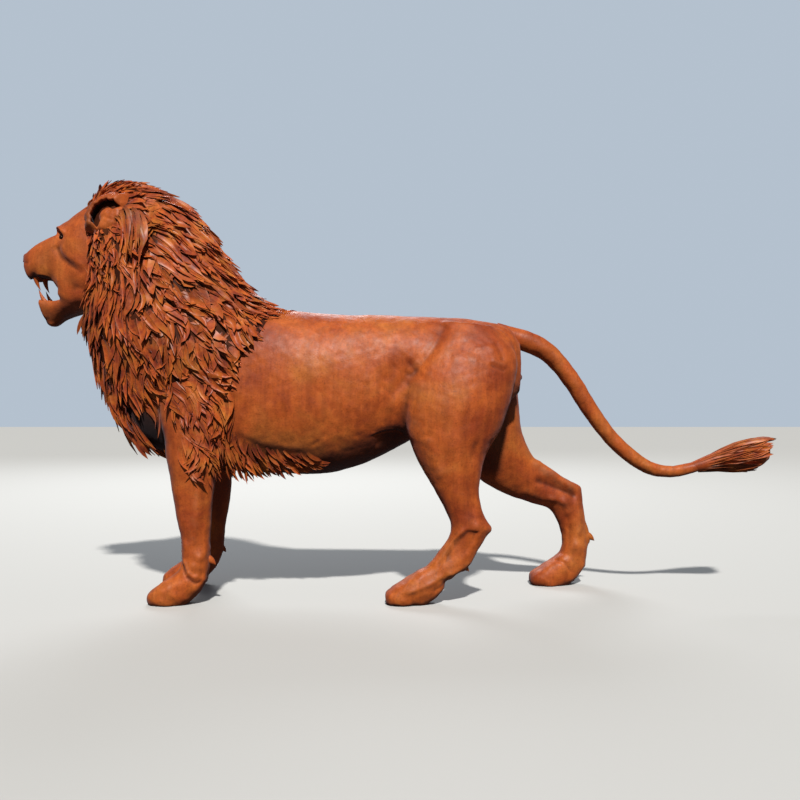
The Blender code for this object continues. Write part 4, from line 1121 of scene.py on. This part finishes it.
def patch(outline, side, draw, gap, length, width, lift, seed, limits, stray, curl, turn_limit=0.1):
    """A batch of strips rooted on the skin inside an outline, whose tips stay inside the limits."""
    roots = skin_roots(outline, side, gap, draw, turn_limit)
    count = len(roots)
    lengths = length * draw.uniform(0.7, 1.3, count)
    lines, outs, share, fits = march_inside(carrier, roots, lengths, draw.normal(0, stray, count),
                                            draw.normal(0, curl, count), seed, limits, ())
    widths = width * draw.uniform(0.7, 1.25, count) * np.sqrt(share)
    tips = lift * draw.uniform(0.4, 1.4, count) * share
    return strips(lines[fits], outs[fits], widths[fits], np.full(fits.sum(), -0.001), tips[fits], draw, bell=0.7)


ELBOW = metres((
    (-822, 800), (-700, 860), (-655, 760), (-662, 715), (-625, 650), (-640, 590), (-690, 530), (-760, 540),
    (-815, 620),
))
ELBOW_LIMITS = metres((
    (-850, 900), (-640, 900), (-655, 724), (-610, 670), (-620, 560), (-665, 440), (-830, 440), (-838, 600),
))
WITHERS = metres(((-640, 1240), (-430, 1145), (-440, 1105), (-500, 1068), (-560, 1000), (-640, 980)))
ELBOW_FIELD, WITHERS_FIELD = 31, 51   # seeds of the strips' directions there
elbows = {}
for side, word in SIDES.items():
    leaves = patch(ELBOW, side, draw, gap=0.025, length=0.095, width=0.019, lift=0.016, seed=ELBOW_FIELD,
                   limits=ELBOW_LIMITS, stray=0.22, curl=0.5)
    roots = skin_roots(ELBOW, side, 0.058, draw)
    bundles = locks(carrier, roots, 0.130, 0.0155, 0.028, draw, ELBOW_FIELD, ELBOW_LIMITS, (), fingers=4,
                    stray=0.20, curl=0.45)
    elbows[side] = strip_object("elbow_tuft_strips_" + word, [leaves, bundles], draw, 0.10, 0.80)
wedge = [patch(WITHERS, side, draw, gap=0.023, length=0.080, width=0.018, lift=0.004, seed=WITHERS_FIELD,
               limits=MANE_OUTLINE, stray=0.12, curl=0.2, turn_limit=-0.1) for side in SIDES]
withers = strip_object("withers_strips", wedge, draw)

# %% [markdown]
# The belly fringe is combed: its strips leave the belly plate in one row after another, hang clear of it and
# all bend towards the tail, steeply by the elbow and flatly at the rear end. So their lines aren't marched
# over the skin but drawn freely, with a direction that depends on where the root is.

# %% Belly fringe
FRINGE = metres((
    (-665, 652), (-600, 630), (-561, 614), (-518, 593), (-430, 576), (-340, 568), (-310, 530), (-420, 512),
    (-540, 515), (-670, 530),
))


def hanging(roots, side, draw):
    """Free strips: the direction is steep at the front of the fringe and flat at its rear, and each strip
    turns 35 degrees further back on its way. They lean towards the middle plane by up to a third of their
    length, and grow shorter where the belly is low."""
    count = len(roots)
    s = np.linspace(0, 1, STEPS)[None, :]
    start = np.interp(roots[:, 0], (-0.67, -0.60, -0.50, -0.40, -0.31), (100, 88, 74, 58, 42))
    start = np.radians(start + draw.normal(0, 10, count))[:, None]
    angle = start - np.radians(35) * s
    length = np.interp(roots[:, 0], (-0.67, -0.50, -0.31), (0.098, 0.082, 0.056)) * draw.uniform(0.75, 1.2, count)
    length *= step_up(roots[:, 2], 0.44, 0.56)
    pace = length[:, None] / (STEPS - 1)
    ahead = np.stack([np.cos(angle), -side * draw.uniform(0.0, 0.35, count)[:, None] + 0 * s, -np.sin(angle)], -1)
    lines = roots[:, None] + np.cumsum(unit(ahead) * pace[..., None], 1) - (unit(ahead) * pace[..., None])[:, :1]
    outs = np.broadcast_to(np.array([0, side, -0.35]), lines.shape)
    flat = np.full(count, 0.001)
    return strips(lines, unit(outs), draw.uniform(0.010, 0.017, count), flat, draw.uniform(0.002, 0.010, count), draw,
                  roll=0.5)


belly = [hanging(skin_roots(FRINGE, side, 0.0165, draw, turn_limit=-0.5), side, draw) for side in SIDES]
belly_fringe = strip_object("belly_fringe_strips", belly, draw, 0.10, 0.75)

# %% [markdown]
# ## Tail
#
# The tail is a steel bar, bent while hot in short heats, so it has slight flats and kinks. It is a circle
# carried along a curve. Its end is forged out into a bulb, and the brush is broad strips laid round that.

# %% Tail bar
TAIL_LINE = metres((
    (380, 1044), (520, 1000), (603, 950), (684, 852), (763, 729), (843, 619), (922, 546), (1000, 499), (1080, 485),
    (1160, 500), (1200, 513),
))
TAIL_RADIUS = metres((38, 41, 38, 35, 32.5, 30, 28, 26, 23, 21, 19))


def tail_bar(rings, sides):
    """A circle carried along the tail's curve. Its radius is uneven by about a millimetre of fine noise, and
    by two of broad noise, the scars of each heat."""
    rows = between(np.column_stack([TAIL_LINE, TAIL_RADIUS]), rings)
    ahead = unit(np.gradient(rows[:, :2], axis=0))
    angle = np.linspace(2 * math.pi, 0, sides, endpoint=False)[None, :]
    x, z, radius = (column[:, None] for column in rows.T)
    centre = np.stack([x + 0 * angle, 0 * x * angle, z + 0 * angle], -1)
    out = np.stack([-ahead[:, 1:] * np.cos(angle), np.sin(angle) + 0 * x, ahead[:, :1] * np.cos(angle)], -1)
    raw = centre + out * radius[..., None]
    uneven = waves(raw.reshape(-1, 3), 0.06, 61).reshape(rings, sides) * 0.0011
    uneven += waves(raw.reshape(-1, 3), 0.24, 62, 1).reshape(rings, sides) * 0.0022
    return tube(raw + out * uneven[..., None])


tail = new_mesh("tail_bar", *tail_bar(260, 40))

# %% Tail tuft
# The bulb that the bar is forged into: x, the underside's z, x again, the top's z, and half width.
TUFT_CORE = metres((
    (1140, 482, 1140, 511, 14), (1200, 486, 1200, 538, 25), (1280, 493, 1280, 573, 36), (1340, 492, 1340, 596, 47),
    (1400, 494, 1400, 609, 53), (1440, 508, 1440, 608, 46), (1470, 532, 1470, 594, 26),
))


def tuft_strips(count, draw):
    """Broad strips round the bulb. They end at a slanting rim, which lies further out at the top than below,
    and follow the bulb's swell with a slight flare, so the brush is open at its end."""
    s = np.linspace(0, 1, STEPS)[None, :]
    turn = draw.uniform(0, 2 * math.pi, count)[:, None]
    end = 1.508 - 0.040 * (1 - np.cos(turn)) - draw.uniform(0, 0.05, count)[:, None]
    start = np.maximum(end - draw.uniform(0.11, 0.25, count)[:, None], 1.19)
    x = start + (end - start) * s
    swell = np.interp(x, (1.16, 1.20, 1.28, 1.34, 1.41, 1.46, 1.51),
                      (0.020, 0.025, 0.040, 0.053, 0.062, 0.062, 0.052))
    axis = np.interp(x, (1.16, 1.20, 1.28, 1.34, 1.41, 1.51), (0.500, 0.512, 0.533, 0.544, 0.552, 0.566))
    turn = turn + draw.normal(0, 0.15, count)[:, None] * s
    flare = 0.96 + 0.04 * s
    out = np.stack([0 * x, np.sin(turn) + 0 * x, np.cos(turn) + 0 * x], -1)
    lines = np.stack([x, np.sin(turn) * swell * 0.85 * flare, axis + np.cos(turn) * swell * flare], -1)
    low, high = np.full(count, -0.002), draw.uniform(-0.004, 0.009, count)
    return strips(lines, out, draw.uniform(0.024, 0.040, count), low, high, draw, roll=0.25)


tuft_core = new_mesh("tail_tuft_core", *loft(TUFT_CORE, 40, 40, 2.0))
tuft = strip_object("tail_tuft_strips", [tuft_strips(84, draw)], draw, 0.10, 0.55)

# %% [markdown]
# ## Ears, eyes, teeth and claws
#
# The ears are cups beaten out of sheet: a dish whose rim is an egg shape, given its thickness by a Solidify
# modifier. The eyes are steel balls at the bottom of their hollows. Teeth and dewclaws are tapered and bent
# round bar.


# %% Ears
EAR_X, EAR_Z, EAR_SIZE = -1.116, 1.474, 0.062
# Profiles from the ear's middle outwards: distance from it as a share of EAR_SIZE, and height over the mane's
# ground. One is taken over the front and the top, where the rim stands up, and one at the back and below,
# where the cup runs out flat under the strips. The rim's lip is the seventh row.
RIMMED = ((0.02, 0.008), (0.35, 0.002), (0.66, -0.020), (0.92, -0.044), (1.10, -0.034), (1.10, -0.006), (1.00, 0.017),
          (1.03, 0.0205), (1.17, 0.018), (1.40, 0.004), (1.62, -0.020))
PLAIN = ((0.02, 0.008), (0.30, 0.010), (0.55, 0.011), (0.75, 0.010), (0.90, 0.006), (1.00, 0.001), (1.05, -0.003),
         (1.10, -0.007), (1.15, -0.011), (1.22, -0.016), (1.30, -0.024))
LIP_PLACE = 0.60
HOOD_REACH, HOOD_DROP = 0.50, 0.050   # how much further the hood's outside reaches over the crown, and how it falls


def ear_shell(side):
    """A beaten cup. Angle a goes round it from the tail side over the top, and place s goes outwards along a
    profile that blends from PLAIN to RIMMED. Outside the lip, the hood over the top reaches further and
    falls away with the crown. The lip's edge is torn by noise. Also returns painted shade for the cup's
    inside, deepest part way out and under the front rim."""
    s, a = np.meshgrid(np.linspace(0, 1, 64), np.linspace(0, 2 * math.pi, 96, endpoint=False), indexing="ij")
    rimmed, plain = (between(rows, 64)[:, None] for rows in (RIMMED, PLAIN))
    turn = np.degrees(a)
    stands = step_up(turn, 20, 60) * (1 - step_up(turn, 205, 250))
    over = stands * np.exp(-((turn - 80) / 42) ** 2)
    circle = np.stack([np.cos(a), np.sin(a), 0 * a], -1).reshape(-1, 3)
    torn = 1 + 0.075 * waves(circle, 0.42, 72, 2).reshape(a.shape) * step_up(s, 0.40, LIP_PLACE) * stands
    reach = (plain[..., 0] + (rimmed[..., 0] - plain[..., 0]) * stands) * torn
    outside = step_up(s, LIP_PLACE, 1.0)
    reach = (reach + HOOD_REACH * over * outside) * EAR_SIZE
    height = plain[..., 1] + (rimmed[..., 1] - plain[..., 1]) * stands - HOOD_DROP * over * outside ** 2
    bumps = np.stack([reach * np.cos(a), reach * np.sin(a), 0.3 * height], -1).reshape(-1, 3)
    height = height + 0.0035 * waves(bumps, 0.075, 71).reshape(a.shape)
    hit = carrier.ray_cast(Vector((EAR_X, side, EAR_Z)), Vector((0, -side, 0)))[0]
    out = unit(np.array([-0.20, 0.95 * side, 0.24]))
    back = unit(np.cross([0, 1.0, 0], [0, 0, 1.0]) - out * out[0])
    up = unit(np.array([0, 0, 1.0]) - out * out[2])
    points = (np.array(hit) + back * (reach * np.cos(a))[..., None] + up * (reach * 0.95 * np.sin(a))[..., None]
              + out * height[..., None])
    # Painted shade: the inside of the cup under its standing rim, and a band under the front rim.
    rim_shade = 0.22 * step_up(turn, 110, 140) * step_up(s, LIP_PLACE - 0.05, LIP_PLACE + 0.05)
    cup_shade = stands * np.maximum(np.exp(-((s - 0.40) / 0.17) ** 4), rim_shade)
    return points, cup_shade


ears = {}
for side, word in SIDES.items():
    points, cup_shade = ear_shell(side)
    shell_points, shell_faces = tube(points)
    # The dish is open round its outer end, and the right ear's faces are turned to look outwards too.
    order = shell_faces[:-1] if side == LEFT else [f[::-1] for f in shell_faces[:-1]]
    cup = new_mesh("ear_sheet_" + word, shell_points, order)
    # The cup's painted shade goes into its hollow mark.
    store(cup, {"hollow": cup_shade.reshape(-1)})
    wall = cup.modifiers.new("sheet", "SOLIDIFY")
    wall.thickness, wall.offset = 0.003, -1
    ears[side] = cup


# %% Eyes
EYE_RADIUS = 0.011


def eye_ball(side):
    """A ball at the bottom of the hollow, with a shallow ring pressed round its pupil."""
    x, y, z = EYE
    points, faces = ball((0, 0, 0), (EYE_RADIUS,) * 3, sides=32)
    look = unit(np.array([-0.75, 0.62 * side, 0.05]))
    along = points @ look / EYE_RADIUS
    points = points * (1 - 0.05 * np.exp(-((along - 0.86) / 0.05) ** 2))[:, None]
    return points + np.array([x - 0.004, (y - 0.012) * side, z]), faces


eyes = {side: new_mesh("eye_ball_" + word, *eye_ball(side)) for side, word in SIDES.items()}


# %% Teeth
def spike(root, tip, radius, bend, power=1.6, rings=20, sides=20):
    """A round spike from root to tip. It bulges sideways by bend at its middle, and its radius falls with
    one minus the place to the given power: a low power makes a slender point and a high one a blunt end."""
    s = np.linspace(0, 1, rings)[:, None]
    path = np.array(root) + (np.array(tip) - np.array(root)) * s + np.array(bend) * 4 * s * (1 - s)
    ahead = unit(np.gradient(path, axis=0))
    first = unit(np.cross(ahead, [0.0, 1.0, 0.0]))
    second = np.cross(ahead, first)
    girth = radius * np.clip(1 - s ** power, 0.03, 1)
    a = np.linspace(0, 2 * math.pi, sides, endpoint=False)
    circle = first[:, None] * np.cos(a)[None, :, None] + 0.85 * second[:, None] * np.sin(a)[None, :, None]
    return tube(path[:, None] + circle * girth[..., None])


canines = {}
for side, word in SIDES.items():
    upper = spike((-1.440, 0.048 * side, 1.275), (-1.420, 0.044 * side, 1.203), 0.0125, (-0.006, 0, 0))
    lower = spike((-1.392, 0.039 * side, 1.145), (-1.432, 0.036 * side, 1.212), 0.0110, (-0.004, 0, -0.004))
    for jaw, shell in (("upper", upper), ("lower", lower)):
        name = f"{jaw}_canine_{word}"
        canines[name] = new_mesh(name + "_steel", *shell)

# %% Dewclaws
# Root and tip of each.
DEWCLAWS = {
    "fore_left": ((-745, -LEG_Y, 170), (-697, -LEG_Y, 146)),
    "fore_right": ((-777, LEG_Y, 160), (-731, LEG_Y, 134)),
    "hind_left": ((215, -LEG_Y, 148), (261, -LEG_Y, 121)),
    "hind_right": ((765, LEG_Y, 205), (817, LEG_Y, 181)),
}
dewclaws = {name: new_mesh("dewclaw_steel_" + name, *spike(*metres(ends), 0.017, (0, 0, 0.008), 3.5))
            for name, ends in DEWCLAWS.items()}

# %% [markdown]
# ### Forelock and chin strips
#
# Over the forehead the first strips stand up like a short brush, and behind the jaw a few long ones hang
# free. The chin's are given one by one, a root and a tip each, because they make the outline of the head.


# %% Forelock and chin strips
def forelock(draw, count):
    """Short strips along the collar's front rim, from ear to ear over the forehead. Each leans back and up,
    by turns more and less."""
    v = draw.uniform(-0.24, 0.24, count)
    roots = mane_point(draw.uniform(0.01, 0.12, count), np.mod(v, 2), -0.006)
    length = draw.uniform(0.022, 0.040, count)[:, None]
    lean = np.stack([draw.uniform(-0.10, 0.80, count), 2.2 * v + draw.normal(0, 0.15, count), np.ones(count)], 1)
    tips = roots + unit(lean) * length
    return [(r, t, w) for r, t, w in zip(roots, tips, draw.uniform(0.011, 0.018, count))]


CHIN = metres((
    ((-1215, 110, 1115), (-1250, 118, 1022), 17), ((-1222, 96, 1110), (-1238, 100, 1040), 14),
    ((-1205, 125, 1110), (-1222, 135, 1010), 18), ((-1212, 75, 1095), (-1226, 75, 995), 18),
))
brush = [free_strips(forelock(draw, 20), draw, 0.004, (-0.7, side, 0.2)) for side in SIDES]
for side in SIDES:
    mirror = np.array([1, side, 1])
    chin = [(root * mirror, tip * mirror, width) for root, tip, width in CHIN]
    brush.append(free_strips(chin, draw, 0.006, (-0.5, side, 0.1)))
free = strip_object("forelock_strips", brush, draw, 0.0, 0.12)

# %% [markdown]
# ## Finishes
#
# All the steel is the same: mild steel plate left out to rust and then sealed. Rust is not a metal to the
# eye, so the shader is not metallic. Its colour wanders between orange, ochre and red-brown in patches a hand
# wide, it runs down the sides in faint streaks, and it is pitted by the millimetre. It is darker in hollows,
# and painted dark as shade under the belly and the jaw, on the palate, in the cleft under the tail, behind the
# mane's fringe, on the mane's ground, inside the ears, and where the near thigh's shadow falls on the far one.
# It is greyer on ground welds, with a painted highlight on every ridge. The sealing lacquer adds a thin uneven
# gloss. The strips were cut from darker stock; painted shade darkens their roots, and their cut edges are
# brighter than their faces, partly as a painted highlight.


# %% Shader tools
def srgb(code):
    """Linear RGBA of an sRGB hex value: divide by 12.92 below 0.04045, and else the 2.4 power curve."""
    values = [int(code[i:i + 2], 16) / 255 for i in (0, 2, 4)]
    return tuple(v / 12.92 if v <= 0.04045 else ((v + 0.055) / 1.055) ** 2.4 for v in values) + (1.0,)


def add(tree, kind, inputs=(), stops=(), **settings):
    """Adds a node and returns it. Settings are the node's own. Inputs are pairs of a socket's name or number
    and what it gets, a value or another node's output. Stops are a colour ramp's places and colours; a single
    number stands for a grey."""
    node = tree.nodes.new("ShaderNode" + kind)
    for key, value in settings.items():
        setattr(node, key, value)
    for socket, value in inputs:
        if isinstance(value, bpy.types.NodeSocket):
            tree.links.new(value, node.inputs[socket])
        else:
            node.inputs[socket].default_value = value
    for number, (place, colour) in enumerate(stops):
        elements = node.color_ramp.elements
        element = elements[number] if number < 2 else elements.new(place)
        element.position, element.color = place, colour if isinstance(colour, tuple) else (colour, colour, colour, 1)
    return node


def millimetres(size):
    """Noise scale whose features are about this many millimetres across, on coordinates in metres."""
    return 1000 / size


# %% Rusted plate
WELD_GREY_AND_HIGHLIGHT, EDGE_AND_HIGHLIGHT, HOLLOW_AND_SHADE_DARK = "A06A48", "BC7850", "140C0F"   # greyed ground welds with a painted highlight on ridges; the strips' cut edges with a painted highlight; the dark of hollows and of painted shade
# Noises: size of the features in millimetres, detail, roughness and distortion. Runs are drawn out downwards.
NOISES = {
    "patches": (230, 4, 0.6, 0.4), "blots": (62, 4, 0.6, 0.4), "stains": (55, 5, 0.62, 0.8), "runs": (26, 4, 0.6, 0),
    "specks": (7, 3, 0.7, 0), "broken": (34, 3, 0.55, 0), "gloss": (40, 4, 0.6, 0), "peel": (5.5, 2, 0.5, 0),
    "pits": (17, 4, 0.6, 0),
}
# Colour ramps over noises and over marks: places and greys, the two ends first.
RAMPS = {
    "stains": ((0.38, 0.4), (0.62, 0.0)), "runs": ((0.42, 0.80), (0.60, 1.06)),
    "specks": ((0.34, 0.66), (0.66, 1.12), (0.46, 1.0)), "gloss": ((0.35, 0.60), (0.65, 0.46)),
}
# The roots' ramp is painted shade under the neighbouring strips, and the edges' ramp is partly a painted highlight.
STRIP_RAMPS = {
    "tone": ((0.0, 0.34), (1.0, 1.26), (0.15, 0.78), (0.5, 1.03)), "along": ((0.0, 0.55), (0.8, 0.0), (0.35, 0.12)),
    "edge": ((0.45, 0.0), (1.0, 0.22)),
}
# The hollows' ramp darkens both the hollows and the painted shade laid into that mark.
PLATE_RAMPS = {
    "hollow": ((0.05, 0.0), (0.90, 0.99), (0.30, 0.50), (0.55, 0.86)), "broken": ((0.40, 0.0), (0.70, 0.35)),
}


def rust(name, light, yellow, red, strip, shine, bloom):
    """Weathered steel under lacquer. Patches, streaks, specks and pits are noise on the object's own
    coordinates; hollows and painted shade, welds with a painted highlight on ridges, and strips are marked on
    the mesh. A strip's root gets painted shade and its cut edges are lightened, partly as a painted highlight.
    The coats are laid over each other in one loop, each with its way of mixing, its strength and its colour.
    Shine is the lacquer's and bloom is the bluish haze that lies on it."""
    made = bpy.data.materials.new(name)
    made.use_nodes = True
    tree = made.node_tree
    shader = tree.nodes["Principled BSDF"]
    place = add(tree, "TexCoord").outputs["Object"]
    streaky = add(tree, "Mapping", [("Vector", place), ("Scale", (1, 1, 0.10))]).outputs[0]
    noise = {key: add(tree, "TexNoise", [
        ("Vector", streaky if key == "runs" else place), ("Scale", millimetres(size)), ("Detail", detail),
        ("Roughness", rough), ("Distortion", warp)]).outputs[0]
        for key, (size, detail, rough, warp) in NOISES.items()}
    mark = {key: add(tree, "Attribute", attribute_name=key).outputs["Fac"]
            for key in (("tone", "along", "edge") if strip else ("hollow", "weld"))}
    colour = add(tree, "ValToRGB", [(0, noise["blots" if strip else "patches"])],
                 ((0.36, srgb(red)), (0.66, srgb(yellow)), (0.50, srgb(light)))).outputs[0]
    ramps = RAMPS | (STRIP_RAMPS if strip else PLATE_RAMPS)
    ramp = {key: add(tree, "ValToRGB", [(0, (noise | mark)[key])], stops).outputs[0]
            for key, stops in ramps.items()}
    coats = [("MIX", ramp["stains"], srgb(red)), ("MULTIPLY", 0.75, ramp["runs"]),
             ("MULTIPLY", 0.65, ramp["specks"])]
    if strip:
        # Painted shade darkens each strip's root, where its neighbours cover it, and its cut edges are lightened,
        # partly as a painted highlight.
        coats += [("MULTIPLY", 1.0, ramp["tone"]), ("MIX", ramp["along"], srgb(HOLLOW_AND_SHADE_DARK)),
                  ("MIX", ramp["edge"], srgb(EDGE_AND_HIGHLIGHT))]
    else:
        # Painted shade from the hollow mark darkens the plate; ground welds are greyed, which also paints a highlight
        # on every ridge.
        ground_weld_and_highlight = add(tree, "Math", [(0, mark["weld"]), (1, ramp["broken"])], operation="MULTIPLY").outputs[0]
        coats += [("MIX", ramp["hollow"], srgb(HOLLOW_AND_SHADE_DARK)), ("MIX", ground_weld_and_highlight, srgb(WELD_GREY_AND_HIGHLIGHT))]
    for blend, strength, over in coats:
        colour = add(tree, "Mix", [(0, strength), (6, colour), (7, over)], data_type="RGBA",
                     blend_type=blend).outputs[2]
    gloss = ramp["gloss"]
    # Hollows and painted shade are also rougher, so the lacquer shines less there.
    if not strip:
        gloss = add(tree, "Math", [(0, gloss), (1, mark["hollow"])], operation="MAXIMUM").outputs[0]
    peel = add(tree, "Bump", [("Height", noise["peel"]), ("Strength", 0.30), ("Distance", 0.0012)]).outputs[0]
    pits = add(tree, "Bump", [("Height", noise["pits"]), ("Normal", peel), ("Strength", 0.35), ("Distance", 0.003)])
    for socket, output in (("Base Color", colour), ("Roughness", gloss), ("Normal", pits.outputs[0])):
        tree.links.new(output, shader.inputs[socket])
    for socket, value in (("Specular IOR Level", shine), ("Sheen Weight", bloom), ("Sheen Roughness", 0.45),
                          ("Sheen Tint", (0.75, 0.82, 1.0, 1.0)), ("Coat Weight", 0.08 if strip else 0.02),
                          ("Coat Roughness", 0.26 if strip else 0.30)):
        shader.inputs[socket].default_value = value
    return made


plate = rust("rusted_plate_lacquered", "B55720", "B76428", "8E3A16", False, 0.28, 0.10)
strip_steel = rust("rusted_strip_lacquered", "B0521F", "B86826", "82341E", True, 0.12, 0.10)
# The mane's ground is painted near black, as the shade between the strips and behind the chest's fringe.
shade_backing = rust("backing_painted_shade", "4A2416", "502A16", "381A10", False, 0.05, 0.0)
bare_iron = bpy.data.materials.new("polished_eye_steel")
bare_iron.use_nodes = True
iron = bare_iron.node_tree.nodes["Principled BSDF"]
iron.inputs["Base Color"].default_value = srgb("3B2A22")
iron.inputs["Metallic"].default_value = 0.8
iron.inputs["Roughness"].default_value = 0.3

# %% Give every piece its body, its finish and the CAD node that it stands for
BODY = "root"


def fit(piece, material, slot_name, *nodes):
    """A piece rides on the lion's one body, takes a finish, and stands for CAD nodes."""
    piece.data.materials.clear()
    piece.data.materials.append(material)
    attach(piece, BODY)
    if nodes:
        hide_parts(*nodes)


for piece in skin_pieces:
    fit(piece, plate, "skin_steel", "body")
fit(ground, shade_backing, "dark_steel", "mane")
fit(withers, strip_steel, "strip_steel", "mane")
fit(free, strip_steel, "strip_steel", "mane")
fit(belly_fringe, strip_steel, "strip_steel", "belly_fringe")
fit(tail, plate, "skin_steel", "tail")
fit(tuft_core, plate, "strip_steel", "tail_tuft")
fit(tuft, strip_steel, "strip_steel", "tail_tuft")
for side, word in SIDES.items():
    fit(mane[side], strip_steel, "strip_steel", "mane")
    fit(elbows[side], strip_steel, "strip_steel", "elbow_tuft_" + word)
    fit(ears[side], plate, "skin_steel", "ear_" + word)
    fit(eyes[side], bare_iron, "dark_steel", "eye_" + word)
for name, piece in canines.items():
    fit(piece, plate, "strip_steel", name)
for name, piece in dewclaws.items():
    fit(piece, plate, "strip_steel", "dewclaw_" + name)

# %% [markdown]
# ## Studio
#
# The lion stands on a plain pale floor. A soft sun, high on the camera's side and a little towards the tail,
# shapes the body. A weaker lamp lights its far side, and the pale surroundings fill the shadows.

# %% Studio
REACH = 30   # half the floor's side
floor = new_mesh("studio_floor", [(-REACH, -REACH, 0), (REACH, -REACH, 0), (REACH, REACH, 0), (-REACH, REACH, 0)],
                 [(0, 1, 2, 3)])
paint = bpy.data.materials.new("pale_floor_paint")
paint.use_nodes = True
coat = paint.node_tree.nodes["Principled BSDF"]
# To the camera the floor is pale, but to the lion it is dark, so it sends little light up to the belly.
sight = add(paint.node_tree, "LightPath").outputs["Is Camera Ray"]
floor_colour = add(paint.node_tree, "Mix", [(0, sight), (6, srgb("343436")), (7, srgb("C4C4C2"))], data_type="RGBA")
paint.node_tree.links.new(floor_colour.outputs[2], coat.inputs["Base Color"])
coat.inputs["Roughness"].default_value = 0.85
floor.data.materials.append(paint)
floor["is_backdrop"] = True


def lamp(name, kind, place, aim, strength, size, tint):
    """A soft lamp at a place, turned to aim at a point. A sun's size is an angle, an area lamp's is its side."""
    light = bpy.data.objects.new(name, bpy.data.lights.new(name, kind))
    light.data.energy, light.data.color = strength, tint
    if kind == "SUN":
        light.data.angle = size
    else:
        light.data.shape, light.data.size = "SQUARE", size
    light.location = place
    light.rotation_euler = (Vector(aim) - Vector(place)).to_track_quat("-Z", "Y").to_euler()
    bpy.context.scene.collection.objects.link(light)


lamp("key", "SUN", (0.4, -6.2, 7.6), (0, 0, 0.8), 4.5, math.radians(3), (1.0, 0.97, 0.92))
lamp("far_side", "AREA", (-1.5, 6.5, 6.0), (0, 0, 0.8), 300, 3.5, (0.93, 0.96, 1.0))
world = bpy.data.worlds.new("pale_surroundings")
bpy.context.scene.world = world
world.use_nodes = True
sky = world.node_tree.nodes["Background"]
sky.inputs["Color"].default_value = (0.74, 0.86, 1.0, 1)
seen = add(world.node_tree, "LightPath").outputs["Is Camera Ray"]
world.node_tree.links.new(add(world.node_tree, "ValToRGB", [(0, seen)], ((0.0, 0.14), (1.0, 0.62))).outputs[0],
                          sky.inputs["Strength"])

# %% Camera
LENS, SENSOR = 40.5, 36.0   # millimetres
CAMERA_PLACE, CAMERA_TILT = (0, -3.6, 0.743), 90.4456   # metres, and degrees up from looking straight down
camera = bpy.data.objects.new("camera", bpy.data.cameras.new("camera"))
camera.data.lens, camera.data.sensor_width = LENS, SENSOR
camera.location = CAMERA_PLACE
camera.rotation_euler = (math.radians(CAMERA_TILT), 0, 0)
bpy.context.scene.collection.objects.link(camera)
bpy.context.scene.camera = camera
bpy.context.scene.view_settings.view_transform = "Standard"

# %% Sizes, and the end
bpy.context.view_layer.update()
total = sum(len(p.vertices) - 2 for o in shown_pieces() for p in o.data.polygons)
print(total, "triangles in all")
